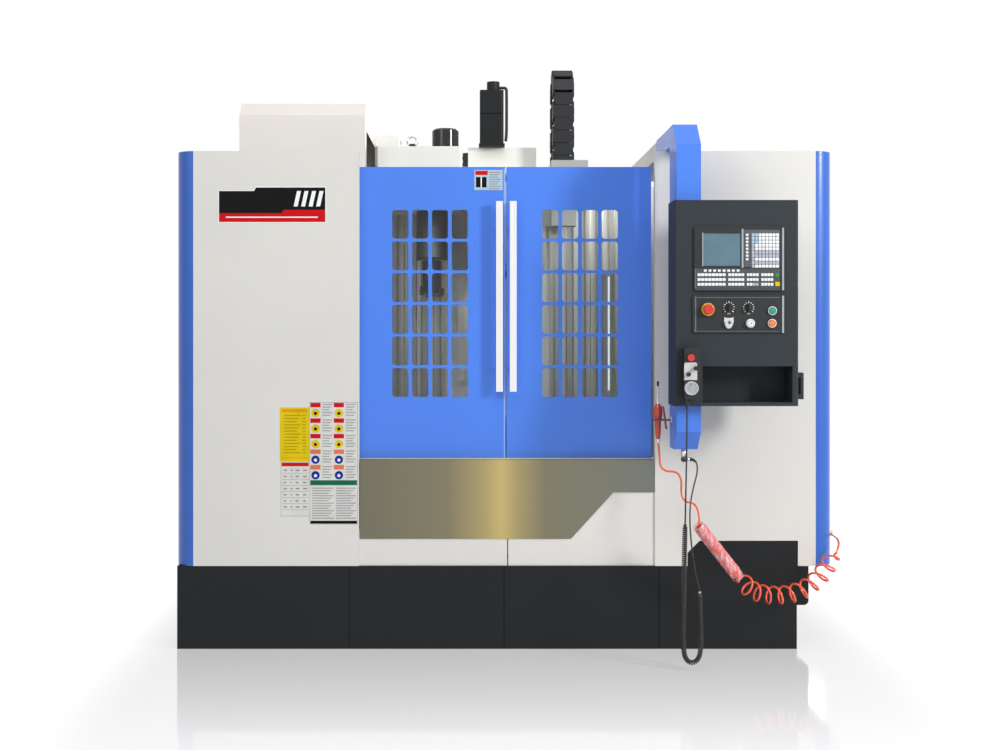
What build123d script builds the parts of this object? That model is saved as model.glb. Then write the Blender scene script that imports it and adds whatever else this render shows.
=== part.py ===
from build123d import *
import os
from math import atan2, cos, degrees, hypot, pi, radians, sin, tan

os.makedirs("parts", exist_ok=True)

# A vertical machining centre: +Z up, +X right, +Y to the back, origin on the floor below the middle.
# All lengths are in millimetres, and Y places are measured from the plane of the front panels.

# Reach of the machine
half_width = 1320
front_reach = 400
rear_reach = 1950
front = (front_reach - rear_reach) / 2
gap = 0.5
slide_gap = 0.4

# Enclosure sheets
sheet = 3
corner_radius = 75
flange = 38
panel_top = 1992
panel_bottom = 332
side_end = 1700
rear_return = 690
opening_left = -582
opening_right = 602
sheet_joint = 4

# Coolant tank with its raised pump box
tank_setback = 2
tank_inset = 10
tank_depth = 270
tank_right = 1170
tank_wall = 8
pump_left = 736
pump_top = 429
pump_chamfer = 48
tank_seam = 3
drawer_width = 620
spout_width = 90
spout_y = 240
spout_bottom = 123
spout_radius = 20

# Apron and lower panels
apron_left = -579
apron_top = 756
apron_bottom = 440
apron_sill = 70
apron_cut = ((266, 440), (436, 626))
apron_setback = 4
lower_setback = 7
lower_seam_x = 13

# Doors
door_setback = 44
door_depth = 30
door_left = -586
door_seam = 7
door_right = 593
door_bottom = 760
door_top = 1934
door_sheet = 3
window_columns = 4
window_rows = 6
window_width = 65
window_height = 116
window_pitch_x = 80
window_pitch_z = 127.7
window_radius = 13
window_left_x = -419
window_right_x = 186
window_low_z = 1064
pane_thickness = 6
pane_margin = 14
handle_width = 27
handle_thickness = 14
handle_standoff = 30
handle_post = 18
handle_low = 1029
handle_high = 1792
handle_left_x = -20
handle_right_x = 35
handle_post_low = 1122
handle_post_high = 1686
handle_groove = 3
track_height = 24
track_drop = 30
track_depth = 14

# Bed, guides, saddle and table
foot_height = 60
foot_radius = 45
foot_plate = 18
foot_stud = 18
foot_inset = 60
bed_half_width = 400
bed_front = 290
bed_back = 1800
bed_top = 520
bed_wall = 40
bed_window_radius = 60
bed_window_pitch = 400
rail_width = 34
rail_waist = 22
rail_height = 30
rail_foot = 10
rail_slope = 4
rail_top = 8
guide_height = 50
carriage_width = 84
carriage_length = 110
y_rail_x = 250
y_rail_front = 300
y_rail_back = 1220
x_rail_y = 110
z_rail_x = 180
z_rail_low = 1020
z_rail_high = 2030
saddle_half_length = 600
saddle_half_beam = 165
saddle_foot_half_width = 330
saddle_foot_half_length = 225
saddle_foot = 50
saddle_height = 160
table_length = 1000
table_width = 450
table_thickness = 90
x_travel = 400
slot_width = 18
slot_depth = 30
slot_head = 30
slot_head_depth = 13
slot_pitch = 110
slot_count = 3
gutter = 14

# Column, head and spindle
spindle_y = 760
column_front = 1240
column_half_width = 260
column_back_low = 1800
column_back_high = 1640
column_top = 2060
column_wall = 45
column_hole_heights = (0.35, 0.7)
bracket_inset = 15
bracket_height = 60
mount_left = -146
mount_right = 194
mount_back = 1420
mount_top = 2186
nose_z = 1520
head_half_width = 150
head_bottom = 1575
head_top = 1840
head_nose_radius = 118
head_plate_half_width = 235
head_plate = 60
head_bracket = 20
head_rise = 90
nose_ring = 30
head_plate_top = 1980
cover_top = 2000
cover_side = 8
cover_slope = 130
cover_chamfer = 65
spindle_radius = 64
spindle_shaft = 45
taper_radius = 22.2
taper_end = 13
taper_length = 65
drive_key_width = 16
drive_key_depth = 6
drive_key_length = 14
bearing_gap = 0.5
z_motor_x = -28
z_motor_size = 118
z_motor_top = 2466
z_motor_plug = 44
z_motor_flange = 14
z_motor_rim = 5
z_motor_offset = 10
z_motor_seam = 2346
z_motor_groove = 4
plug_x = -20
plug_radius = 32

# Tool changer
magazine_inset = 150
magazine_left = magazine_inset - half_width
magazine_right = -606
magazine_front = 600
magazine_back = 1284
magazine_top = 2300
magazine_chamfer = 61
magazine_bottom = 1560
magazine_frame = 60
magazine_axis_z = 1925
disc_radius = 215
disc_thickness = 26
pot_circle = 245
pot_radius = 30
pot_length = 96
pot_count = 20
disc_shaft = 30
disc_rim = 4
arm_pivot_x = -314
arm_reach = 318
arm_width = 74
arm_thickness = 30
arm_hub = 58
arm_shaft = 30
sleeve_radius = 44
sleeve_inside = 154
arm_level = 1440
arm_lift = 110
grip_radius = 33
grip_outer = 45
grip_bore = 27
grip_mouth = 23
gearbox_left = -573
gearbox_right = -173
gearbox_front = 740
gearbox_back = 1010
gearbox_bottom = 1830
gearbox_top = 2120
neck_bottom = 1600
neck_radius = 72
gearbox_chamfer = 12
changer_motor_left = -314
changer_motor_right = -189
changer_motor_top = 2213
changer_motor_chamfer = 8
eye_x = -406
eye_radius = 22
eye_wire = 6
beam_low = 1750
beam_high = 1900
beam_depth = 56
box_left = -610
box_right = -494
box_top = 2252
box_depth = 95

# Cable chain
chain_left = 269
chain_right = 372
chain_front_y = 1120
chain_bend = 100
chain_links_bend = 5
chain_height = 60
chain_top = 2566
chain_plate = 5
chain_bar = 8
chain_eye_share = 0.72
chain_body_share = 0.42
chain_bar_share = 0.62
chain_lid_share = 0.94
chain_front_links = 10
chain_rear_links = 6
trough_sheet = 3
trough_gap = 6
trough_top = 2103
trough_depth = 320
ledge_right = 438
ledge = 40

# Inside walls and lamp
splash_y = 1222
splash_sheet = 2
rib_pitch = 60
rib_depth = 14
rib_width = 26
pan_z = 440
lamp_x = 547
lamp_radius = 28
lamp_low = 949
lamp_high = 1569
lamp_cap = 30
lamp_rim = 3
lamp_standoff = 10

# Control station
box_front = -320
box_back = -170
station_left = 627
station_right = 1092
station_bottom = 991
station_top = 1763
station_radius = 8
pivot_x = 675
pivot_y = -225
pivot_radius = 16
jaw_gap = 3
arm_left = 643
arm_right = 736
arm_front = -270
arm_back = -110
arm_spine = 30
arm_top = 2068
arm_shoulder = 1980
arm_bottom = 818
arm_heel = 890
arm_tail = 238
beam_step = 6
shelf_left = 733
shelf_right = 1069
shelf_bottom = 1004
shelf_top = 1140
shelf_depth = 120
unit_left = 700
unit_right = 1039
unit_bottom = 1422
unit_top = 1664
unit_thickness = 7
screen_left = 732
screen_right = 872
screen_bottom = 1516
screen_top = 1637
screen_pocket = 3
screen_recess = 1
key_size = 9
key_height = 2.5
key_left = 915
key_top = 1638
key_pitch = 13
key_columns = 8
key_rows = 10
soft_key_x = 897
soft_key_count = 8
panel_left = 694
panel_right = 1039
panel_low = 1265
panel_high = 1407
panel_thickness = 5
grip_x = 27
grip_low = 1015
grip_high = 1115
grip_depth = 46
grip_y = -290
grip_room = 16
grip_end = 19

# Controls on the operator panel: place across, height, radius
stop_place = (751, 1353)
stop_radius = 19.5
stop_stem = 11
stop_cap = 15
stop_stroke = 5
stop_fillet = 5
collar_radius = 26
collar_height = 5
override_places = ((830, 1360), (904, 1360))
override_radius = 13
override_height = 18
override_skirt = 4
override_grip = 8
start_place = (992, 1348)
hold_place = (991, 1301)
button_radius = 15
button_stem = 13
button_chamfer = 2
stem_reach = 2
button_cap = 12
button_ring = 18
button_ring_height = 4
button_stroke = 4
key_switch_places = ((829, 1304), (910, 1301))
key_switch_radius = 14
key_switch_height = 14
key_slot_width = 3

# Handwheel pendant
pendant_left = 653
pendant_right = 713
pendant_bottom = 1020
pendant_top = 1211
pendant_front = -382
pendant_back = -332
pendant_radius = 12
gland_x = 668
gland_height = 14
gland_radius = 8
pendant_stop_place = (676, 1174)
pendant_stop_radius = 13
pendant_stop_height = 12
axis_knob_place = (695, 1134)
step_knob_place = (668, 1112)
small_knob_radius = 8
small_knob_height = 12
mark_width = 2
wheel_place = (679, 1061)
wheel_radius = 25
wheel_height = 10
wheel_hollow = 21
wheel_hub = 8
crank_circle = 14.5
crank_radius = 4
holder_height = 70
holder_lip = 4

# Air gun, hook and connector
gun_x = 591
gun_y = -150
gun_low = 853
gun_top = 1078
gun_body_low = 930
gun_body_high = 985
gun_body_radius = 17
gun_grip_radius = 12
nozzle_radius = 5
lever_thickness = 6
lever_width = 16
lever_length = 88
hook_wire = 5
fork_wall = 4
fork_gap = 1
lever_drop = 5
connector_x = 684
connector_y = -190
connector_stem = 9
connector_length = 34
ball_radius = 11
side_boss_radius = 7
fitting_radius = 11
fitting_neck = 8.8
fitting_length = 30

# Cabinet at the back
cabinet_half_width = 560
cabinet_bottom = 480
cabinet_top = 1940
cabinet_radius = 10
cabinet_door_gap = 4
cabinet_vent_rows = 6
cabinet_vent = (180, 10)
cabinet_vent_pitch = 26
cabinet_vent_low = 200
cabinet_vent_x = 300
cabinet_door_depth = 22


# Helpers
def block(x, y, z):
    """A box from low to high along each axis."""
    size = [high - low for low, high in (x, y, z)]
    middle = [(high + low) / 2 for low, high in (x, y, z)]
    return Pos(*middle) * Box(*size)


def place_y(*values):
    """Places counted from the front panels, as places in the part's frame."""
    return tuple(front + v for v in values)


def along_x(x, points):
    """A profile of (y, z) points pulled along X, with y counted from the front panels."""
    face = make_face(Polyline([(0, front + y, z) for y, z in points], close=True))
    return Pos(x[0], 0, 0) * extrude(face, amount=x[1] - x[0], dir=(1, 0, 0))


def along_y(y, points):
    """A profile of (x, z) points pulled along Y, with y counted from the front panels."""
    face = make_face(Polyline([(x, 0, z) for x, z in points], close=True))
    return Pos(0, front + y[0], 0) * extrude(face, amount=y[1] - y[0], dir=(0, 1, 0))


def post(x, y, z, radius):
    """An upright cylinder between two heights, with y counted from the front panels."""
    return Pos(x, front + y, (z[0] + z[1]) / 2) * Cylinder(radius, z[1] - z[0])


def pin_y(x, y, z, radius):
    """A cylinder along Y between two depths."""
    length = y[1] - y[0]
    return Pos(x, front + (y[0] + y[1]) / 2, z) * Rot(90, 0, 0) * Cylinder(radius, length)


def pin_x(x, y, z, radius):
    """A cylinder along X between two places."""
    return Pos((x[0] + x[1]) / 2, front + y, z) * Rot(0, 90, 0) * Cylinder(radius, x[1] - x[0])


def rounded(x, z, radius):
    """A rectangle with rounded corners standing in the XZ plane, facing the front."""
    width = x[1] - x[0]
    height = z[1] - z[0]
    plane = Plane(((x[0] + x[1]) / 2, 0, (z[0] + z[1]) / 2), x_dir=(1, 0, 0), z_dir=(0, -1, 0))
    return plane * RectangleRounded(width, height, radius)


def rounded_block(x, y, z, radius):
    """A rounded rectangle with its corners in the XZ plane, with y counted from the front panels."""
    return Pos(0, front + y[1], 0) * extrude(rounded(x, z, radius), amount=y[1] - y[0], dir=(0, -1, 0))


def pan(x, y, z, wall):
    """A folded sheet with its face to the front and its four edges turned back."""
    inner = block((x[0] + wall, x[1] - wall), place_y(y[0] + wall, y[1] + wall), (z[0] + wall, z[1] - wall))
    return block(x, place_y(*y), z) - inner


def mirrored(shape):
    """The same shape on the other side of the machine's middle plane."""
    return mirror(shape, about=Plane.YZ)


def save(name, *solids):
    """One STEP file for a sub-part, as one or several solids."""
    parts = [s for shape in solids for s in shape.solids()]
    export_step(parts[0] if len(parts) == 1 else Compound(children=parts), f"parts/{name}.step")


# Coolant tank: an open tray with a pump box at its right end
def coolant_tank():
    tank_left = tank_inset - half_width
    pump_low = pump_top - pump_chamfer
    edge = [
        (tank_left, 0),
        (tank_right, 0),
        (tank_right, pump_top),
        (pump_left + pump_chamfer, pump_top),
        (pump_left, pump_low),
        (pump_left, panel_bottom),
        (tank_left, panel_bottom),
    ]
    tank = along_y((tank_setback, tank_depth), edge)
    low = tank_wall
    basin = block(
        (tank_left + tank_wall, pump_left - tank_wall),
        place_y(tank_setback + tank_wall, tank_depth - tank_wall),
        (low, panel_bottom + tank_wall),
    )
    chamber = block(
        (pump_left + tank_wall, tank_right - tank_wall),
        place_y(tank_setback + tank_wall, tank_depth + tank_wall),
        (low, pump_low - tank_wall),
    )
    groove = block(
        (-drawer_width - tank_seam, -drawer_width),
        place_y(tank_setback - tank_seam, tank_setback + tank_seam),
        (tank_wall, panel_bottom - tank_wall),
    )
    for x in (0, drawer_width):
        groove += Pos(x + drawer_width, 0, 0) * block(
            (-drawer_width - tank_seam, -drawer_width),
            place_y(tank_setback - tank_seam, tank_setback + tank_seam),
            (tank_wall, panel_bottom - tank_wall),
        )
    spout_side = half_width - flange - gap
    spout = block(
        (spout_side - spout_width, spout_side),
        place_y(spout_y, spout_y + spout_width),
        (spout_bottom, pan_z - sheet),
    )
    low_edges = spout.faces().sort_by(Axis.Z)[0].edges().filter_by(Axis.Y)
    save("coolant_tank", tank - basin - chamber - groove, fillet(low_edges, spout_radius))


# Guide rails with a waist, and the carriages that run on them
def rail_profile():
    half = rail_width / 2
    waist = rail_waist / 2
    neck_low = rail_foot + rail_slope
    neck_high = rail_height - rail_top - rail_slope
    right = [
        (half, 0),
        (half, rail_foot),
        (waist, neck_low),
        (waist, neck_high),
        (half, rail_height - rail_top),
        (half, rail_height),
    ]
    return right + [(-y, z) for y, z in reversed(right)]


def rail(length):
    """A rail standing on the ground, along X from 0."""
    face = make_face(Polyline([(0, y, z) for y, z in rail_profile()], close=True))
    return extrude(face, amount=length, dir=(1, 0, 0))


def carriage():
    """A carriage standing over a rail along X, centred on the origin."""
    low = guide_height - rail_height - slide_gap
    body = Pos(0, 0, (low + guide_height) / 2) * Box(carriage_length, carriage_width, guide_height - low)
    tunnel = Pos(0, 0, rail_height / 2) * Box(
        2 * carriage_length,
        rail_width + 2 * slide_gap,
        rail_height + 2 * slide_gap,
    )
    return body - tunnel


# Bed casting with its guide rails and levelling feet
def bed():
    y = (bed_front, bed_back)
    body = block((-bed_half_width, bed_half_width), place_y(*y), (foot_height, bed_top))
    hollow = block(
        (-bed_half_width + bed_wall, bed_half_width - bed_wall),
        place_y(y[0] + bed_wall, y[1] - bed_wall),
        (foot_height - bed_wall, bed_top - bed_wall),
    )
    middle = (y[0] + y[1]) / 2
    rib_y = place_y(middle - bed_wall / 2, middle + bed_wall / 2)
    rib = block((-bed_half_width, bed_half_width), rib_y, (foot_height, bed_top))
    body = body - hollow + rib
    count = int((y[1] - y[0]) / bed_window_pitch)
    for n in range(count):
        at = middle + (n - (count - 1) / 2) * bed_window_pitch
        body -= pin_x(
            (-2 * bed_half_width, 2 * bed_half_width),
            at,
            (foot_height + bed_top) / 2,
            bed_window_radius,
        )
    for x in (-bed_half_width + foot_inset, bed_half_width - foot_inset):
        for at in (y[0] + foot_inset, middle, y[1] - foot_inset):
            ear = post(x, at, (foot_height, bed_top - bed_wall), foot_radius)
            body += ear
            body += post(x, at, (foot_plate, foot_height), foot_stud)
            body += post(x, at, (0, foot_plate), foot_radius)
    length = y_rail_back - y_rail_front
    for x in (-y_rail_x, y_rail_x):
        body += Pos(x, front + y_rail_front, bed_top) * Rot(0, 0, 90) * rail(length)
    save("bed_casting", body)


# Saddle: a foot on four carriages and a long cross beam with the X rails
def saddle():
    low = bed_top + guide_height
    top = low + saddle_height
    foot = block(
        (-saddle_foot_half_width, saddle_foot_half_width),
        place_y(spindle_y - saddle_foot_half_length, spindle_y + saddle_foot_half_length),
        (low, low + saddle_foot),
    )
    edge = [
        (-saddle_foot_half_width, low),
        (saddle_foot_half_width, low),
        (saddle_half_length, top - saddle_foot),
        (saddle_half_length, top),
        (-saddle_half_length, top),
        (-saddle_half_length, top - saddle_foot),
    ]
    beam = along_y((spindle_y - saddle_half_beam, spindle_y + saddle_half_beam), edge)
    body = foot + beam
    reach = saddle_foot_half_length - carriage_length / 2
    for x in (-y_rail_x, y_rail_x):
        for y in (-reach, reach):
            body += Pos(x, front + spindle_y + y, bed_top) * Rot(0, 0, 90) * carriage()
    for y in (-x_rail_y, x_rail_y):
        body += Pos(-saddle_half_length, front + spindle_y + y, top) * rail(2 * saddle_half_length)
    save("saddle", body)


# Table with its T-slots and a gutter round the edge
def table():
    low = bed_top + 2 * guide_height + saddle_height
    top = low + table_thickness
    half = table_length / 2
    side = table_width / 2
    body = block((-half, half), place_y(spindle_y - side, spindle_y + side), (low, top))
    for n in range(slot_count):
        y = spindle_y + (n - (slot_count - 1) / 2) * slot_pitch
        neck = slot_width / 2
        head = slot_head / 2
        floor = top - slot_depth
        profile = [
            (y - neck, top + 1),
            (y - neck, floor + slot_head_depth),
            (y - head, floor + slot_head_depth),
            (y - head, floor),
            (y + head, floor),
            (y + head, floor + slot_head_depth),
            (y + neck, floor + slot_head_depth),
            (y + neck, top + 1),
        ]
        body -= along_x((-half - 1, half + 1), profile)
    rim = block(
        (-half - 1, half + 1),
        place_y(spindle_y - side - 1, spindle_y + side + 1),
        (top - gutter, top + 1),
    )
    field = block(
        (-half + gutter, half - gutter),
        place_y(spindle_y - side + gutter, spindle_y + side - gutter),
        (top - gutter, top + 1),
    )
    body -= rim - field
    reach = saddle_half_length - x_travel - carriage_length / 2
    for x in (-reach + gutter, reach - gutter):
        for y in (-x_rail_y, x_rail_y):
            body += Pos(x, front + spindle_y + y, low - guide_height) * carriage()
    save("table", body)


# Column casting with the Z rails, the motor block, the magazine beam and the changer bracket
def column():
    profile = [
        (column_front, bed_top),
        (column_back_low, bed_top),
        (column_back_high, column_top),
        (column_front, column_top),
    ]
    inner = [
        (column_front + column_wall, bed_top - 1),
        (column_back_low - column_wall, bed_top - 1),
        (column_back_high - column_wall, column_top - column_wall),
        (column_front + column_wall, column_top - column_wall),
    ]
    inside = column_half_width - column_wall
    body = along_x((-column_half_width, column_half_width), profile) - along_x((-inside, inside), inner)
    for share in column_hole_heights:
        height = bed_top + share * (column_top - bed_top)
        middle = (column_front + column_back_high) / 2
        body -= pin_x((-2 * column_half_width, 2 * column_half_width), middle, height, 2 * column_wall)
    body += block((mount_left, mount_right), place_y(column_front, mount_back), (column_top, mount_top))
    beam = block(
        (magazine_left + corner_radius, -column_half_width),
        place_y(magazine_back, magazine_back + beam_depth),
        (beam_low, beam_high),
    )
    junction = block(
        (box_left, box_right),
        place_y(magazine_back, magazine_back + box_depth),
        (beam_high, box_top),
    )
    bracket = block(
        (gearbox_left + bracket_inset, -column_half_width),
        place_y(gearbox_back, mount_back),
        (column_top - bracket_height, column_top),
    )
    body += beam + junction + bracket
    for x in (-z_rail_x, z_rail_x):
        rail_z = Rot(0, -90, 0) * rail(z_rail_high - z_rail_low)
        body += Pos(x, front + column_front, z_rail_low) * Rot(0, 0, 90) * rail_z
    return body


# Z motor, standing over its screw
def z_motor():
    y = column_front + z_motor_offset
    half = z_motor_size / 2
    plate = block(
        (z_motor_x - half - z_motor_rim, z_motor_x + half + z_motor_rim),
        place_y(y - half - z_motor_rim, y + half + z_motor_rim),
        (mount_top, mount_top + z_motor_flange),
    )
    section = RectangleRounded(z_motor_size, z_motor_size, z_motor_flange)
    body = Pos(z_motor_x, front + y, 0) * extrude(section, z_motor_top)
    body -= block((-half_width, half_width), place_y(0, rear_reach), (-1, mount_top + z_motor_flange))
    collar = (z_motor_seam, z_motor_seam + z_motor_groove)
    inner = half - z_motor_groove
    groove = block((z_motor_x - half, z_motor_x + half), place_y(y - half, y + half), collar)
    groove -= block((z_motor_x - inner, z_motor_x + inner), place_y(y - inner, y + inner), collar)
    body -= groove
    plug = post(plug_x, y - half / 3, (z_motor_top, z_motor_top + z_motor_plug), plug_radius)
    save("z_motor", plate + body + plug)


# Spindle head: a casting on four carriages, with a bore for the spindle and its cable trough
def trough(middle_y):
    """An open tube for one leg of the cable chain, its thick wall in line with the column's side."""
    y = chain_height / 2 + trough_gap
    outer = block(
        (column_half_width, chain_right + trough_gap + trough_sheet),
        place_y(middle_y - y - trough_sheet, middle_y + y + trough_sheet),
        (trough_top - trough_depth, trough_top),
    )
    inner = block(
        (chain_left - slide_gap, chain_right + trough_gap),
        place_y(middle_y - y, middle_y + y),
        (trough_top - trough_depth - 1, trough_top + 1),
    )
    lip = block(
        (column_half_width, ledge_right),
        place_y(middle_y - y - trough_sheet, middle_y + y + trough_sheet),
        (trough_top - ledge, trough_top),
    )
    return outer + lip - inner


def spindle_head():
    plate_back = column_front - guide_height
    plate_front = plate_back - head_plate
    edge = [
        (spindle_y, head_bottom),
        (spindle_y + head_nose_radius, head_bottom),
        (plate_front, head_bottom + head_plate),
        (plate_front, head_top + head_rise),
        (spindle_y, head_top),
    ]
    body = along_x((-head_half_width, head_half_width), edge)
    body += post(0, spindle_y, (head_bottom, head_top), head_half_width)
    body += post(0, spindle_y, (head_bottom - nose_ring, head_bottom), head_nose_radius)
    body += block(
        (-head_plate_half_width, head_plate_half_width),
        place_y(plate_front, plate_back),
        (head_bottom, head_plate_top),
    )
    arm = block(
        (head_plate_half_width, column_half_width),
        place_y(plate_front, plate_front + head_bracket),
        (trough_top - trough_depth, head_plate_top),
    )
    body += arm
    for x in (-z_rail_x, z_rail_x):
        for z in (head_bottom + carriage_length / 2, head_plate_top - carriage_length / 2):
            runner = Rot(0, -90, 0) * carriage()
            body += Pos(x, front + column_front, z) * Rot(0, 0, 90) * runner
    body -= post(0, spindle_y, (nose_z - 1, head_top - head_plate), spindle_shaft + bearing_gap)
    save("spindle_head", body + trough(chain_front_y))


def head_cover():
    side = head_half_width + cover_side
    back = column_front - guide_height - head_plate - gap
    low = head_top
    outer = [
        (spindle_y - side, low),
        (back, low + head_rise + gap),
        (back, cover_top),
        (spindle_y - side + cover_slope, cover_top),
        (spindle_y - side, cover_top - cover_chamfer),
    ]
    shell = along_x((-side, side), outer)
    skin = side - sheet
    inner = [
        (spindle_y - skin, low - 1),
        (column_front, low - 1),
        (column_front, cover_top - sheet),
        (spindle_y - side + cover_slope + sheet, cover_top - sheet),
        (spindle_y - skin, cover_top - cover_chamfer - sheet),
    ]
    save("head_cover", shell - along_x((-skin, skin), inner))


def spindle():
    flange = post(0, spindle_y, (nose_z, head_bottom - nose_ring - slide_gap), spindle_radius)
    shaft = post(0, spindle_y, (nose_z, head_top - head_plate - slide_gap), spindle_shaft)
    plane = Plane.XY.offset(nose_z)
    cone = loft([plane * Circle(taper_radius), plane.offset(taper_length) * Circle(taper_end)])
    taper = Pos(0, front + spindle_y, 0) * cone
    key_z = (nose_z - 1, nose_z + drive_key_depth)
    half = drive_key_width / 2
    inside = spindle_radius - drive_key_length
    keys = block(
        (-spindle_radius - 1, spindle_radius + 1),
        place_y(spindle_y - half, spindle_y + half),
        key_z,
    )
    keys -= block((-inside, inside), place_y(spindle_y - half - 1, spindle_y + half + 1), key_z)
    save("spindle", flange + shaft - taper - keys)


# Cable chain: outer and inner links in turn, up the head's side, over and down the column's side
def chain_pins():
    pitch = 2 * chain_bend * sin(pi / chain_links_bend / 2)
    centre_z = chain_top - chain_bend - chain_height / 2
    centre_y = chain_front_y + chain_bend
    pins = [(chain_front_y, centre_z - (chain_front_links - n) * pitch) for n in range(chain_front_links)]
    for n in range(chain_links_bend + 1):
        turn = pi - n * pi / chain_links_bend
        pins.append((centre_y + chain_bend * cos(turn), centre_z + chain_bend * sin(turn)))
    for n in range(1, chain_rear_links + 1):
        pins.append((centre_y + chain_bend, centre_z - n * pitch))
    return pins


def chain_link(first, second, inset):
    """One link between two pins: two side plates and two cross bars."""
    length = hypot(second[0] - first[0], second[1] - first[1])
    half = chain_height / 2
    eye = half * chain_eye_share
    width = chain_right - chain_left - 2 * inset
    link = None
    for side in (-1, 1):
        face = SlotCenterToCenter(length, 2 * eye) + Rectangle(length * chain_body_share, chain_height)
        x = side * (width / 2) - (chain_plate if side > 0 else 0)
        plate = Pos(x, 0, 0) * extrude(Plane.YZ * face, amount=chain_plate)
        bars = []
        for edge, share in (
            (-half + chain_bar / 2, chain_bar_share),
            (half - chain_bar / 2, chain_lid_share),
        ):
            bars.append(Pos(0, 0, edge) * Box(width - chain_plate, length * share, chain_bar))
        link = plate + bars[0] + bars[1] if link is None else link + plate
    tilt = degrees(atan2(second[1] - first[1], second[0] - first[0]))
    middle = ((chain_left + chain_right) / 2, front + (first[0] + second[0]) / 2, (first[1] + second[1]) / 2)
    return Pos(*middle) * Rot(tilt, 0, 0) * link


def cable_chain():
    pins = chain_pins()
    links = []
    for n, (first, second) in enumerate(zip(pins, pins[1:])):
        inset = 0 if n % 2 == 0 else chain_plate + slide_gap
        links.append(chain_link(first, second, inset))
    save("cable_chain", *links)


# Tool changer: cover, disc with its pots, gearbox, motor and swinging arm
def magazine_cover():
    wall = sheet

    def form(inset):
        low = magazine_bottom - (1 if inset else 0)
        high = magazine_top - inset
        y0 = magazine_front + inset
        y1 = magazine_back - inset
        cut = magazine_chamfer
        edge = [(y0, low), (y1, low), (y1, high), (y0 + cut, high), (y0, high - cut)]
        return along_x((magazine_left + inset, magazine_right - inset), edge)

    mouth = block(
        (magazine_right - 2 * wall, magazine_right + 1),
        place_y(magazine_front + magazine_frame, magazine_back - magazine_frame),
        (magazine_bottom - 1, magazine_top - 2 * magazine_frame),
    )
    save("magazine_cover", form(0) - form(wall) - mouth)


def magazine_disc():
    y = (magazine_front + magazine_back) / 2
    x = magazine_right - pot_length - 2 * disc_thickness
    body = pin_x((x - disc_thickness, x), y, magazine_axis_z, pot_circle + pot_radius + disc_rim)
    body -= pin_x((x - disc_thickness - 1, x - disc_thickness / 2), y, magazine_axis_z, disc_radius)
    body += pin_x((x - disc_thickness, x), y, magazine_axis_z, 3 * disc_shaft)
    body += pin_x((magazine_left + sheet + gap, x), y, magazine_axis_z, disc_shaft)
    for n in range(pot_count):
        turn = 2 * pi * n / pot_count
        place = (y + pot_circle * sin(turn), magazine_axis_z + pot_circle * cos(turn))
        body += pin_x((x, x + pot_length), place[0], place[1], pot_radius)
    save("magazine_disc", body)


def changer():
    y = (spindle_y + (magazine_front + magazine_back) / 2) / 2
    case = block(
        (gearbox_left, gearbox_right),
        place_y(gearbox_front, gearbox_back),
        (gearbox_bottom, gearbox_top),
    )
    case = chamfer(case.edges().filter_by(Axis.Z), gearbox_chamfer)
    case += post(arm_pivot_x, y, (neck_bottom, gearbox_bottom), neck_radius)
    bore = post(arm_pivot_x, y, (neck_bottom - 1, neck_bottom + 2 * arm_lift), sleeve_radius + bearing_gap)
    stud_z = (gearbox_top, gearbox_top + 2 * eye_wire)
    stud = block((eye_x - eye_radius, eye_x + eye_radius), place_y(y - eye_radius, y + eye_radius), stud_z)
    ring = Pos(
        eye_x,
        front + y,
        gearbox_top + eye_radius + 3 * eye_wire,
    ) * Rot(90, 0, 0) * Torus(eye_radius, eye_wire)
    save("changer_gearbox", case - bore + stud + ring)
    width = changer_motor_right - changer_motor_left
    middle = (changer_motor_left + changer_motor_right) / 2
    cap = post(middle, y, (gearbox_top, changer_motor_top), width / 2)
    cap = chamfer(cap.faces().sort_by(Axis.Z)[-1].edges(), changer_motor_chamfer)
    save("changer_motor", cap)
    low = (arm_level, arm_level + arm_thickness)
    sleeve_top = neck_bottom + sleeve_inside
    sleeve = post(arm_pivot_x, y, (low[1] + slide_gap, sleeve_top), sleeve_radius)
    sleeve -= post(arm_pivot_x, y, (low[0], sleeve_top + 1), arm_shaft + bearing_gap)
    save("changer_sleeve", sleeve)
    body = post(arm_pivot_x, y, (arm_level, sleeve_top), arm_shaft)
    body += post(arm_pivot_x, y, low, arm_hub)
    for side in (-1, 1):
        ends = [
            (arm_pivot_x - arm_width / 2, y),
            (arm_pivot_x + arm_width / 2, y),
            (arm_pivot_x + arm_width / 3, y + side * (arm_reach - grip_radius)),
            (arm_pivot_x - arm_width / 3, y + side * (arm_reach - grip_radius)),
        ]
        outline = make_face(Polyline([(px, front + py, arm_level) for px, py in ends], close=True))
        body += extrude(outline, amount=arm_thickness, dir=(0, 0, 1))
        body += post(arm_pivot_x, y + side * arm_reach, low, grip_outer)
    for side in (-1, 1):
        body -= post(arm_pivot_x, y + side * arm_reach, (low[0] - 1, low[1] + 1), grip_bore)
        mouth_y = place_y(y + side * arm_reach - grip_mouth, y + side * arm_reach + grip_mouth)
        ends = sorted((arm_pivot_x, arm_pivot_x - side * 2 * grip_radius))
        body -= block(ends, mouth_y, (low[0] - 1, low[1] + 1))
    save("changer_arm", body)


# Enclosure: front panels, rounded corners, side panels folded round the back
def front_panels():
    y = (0, flange)
    z = (panel_bottom, panel_top)
    side = half_width - corner_radius
    save("left_front_panel", pan((-side, opening_left), y, z, sheet))
    right = pan((opening_right, side), y, z, sheet)
    notch = [
        (pump_left - sheet_joint, panel_bottom - 1),
        (tank_right + sheet_joint, panel_bottom - 1),
        (tank_right + sheet_joint, pump_top + sheet_joint),
        (pump_left + pump_chamfer - sheet_joint, pump_top + sheet_joint),
        (pump_left - sheet_joint, pump_top - pump_chamfer + sheet_joint),
    ]
    save("right_front_panel", right - along_y((-1, flange + 1), notch))


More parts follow.
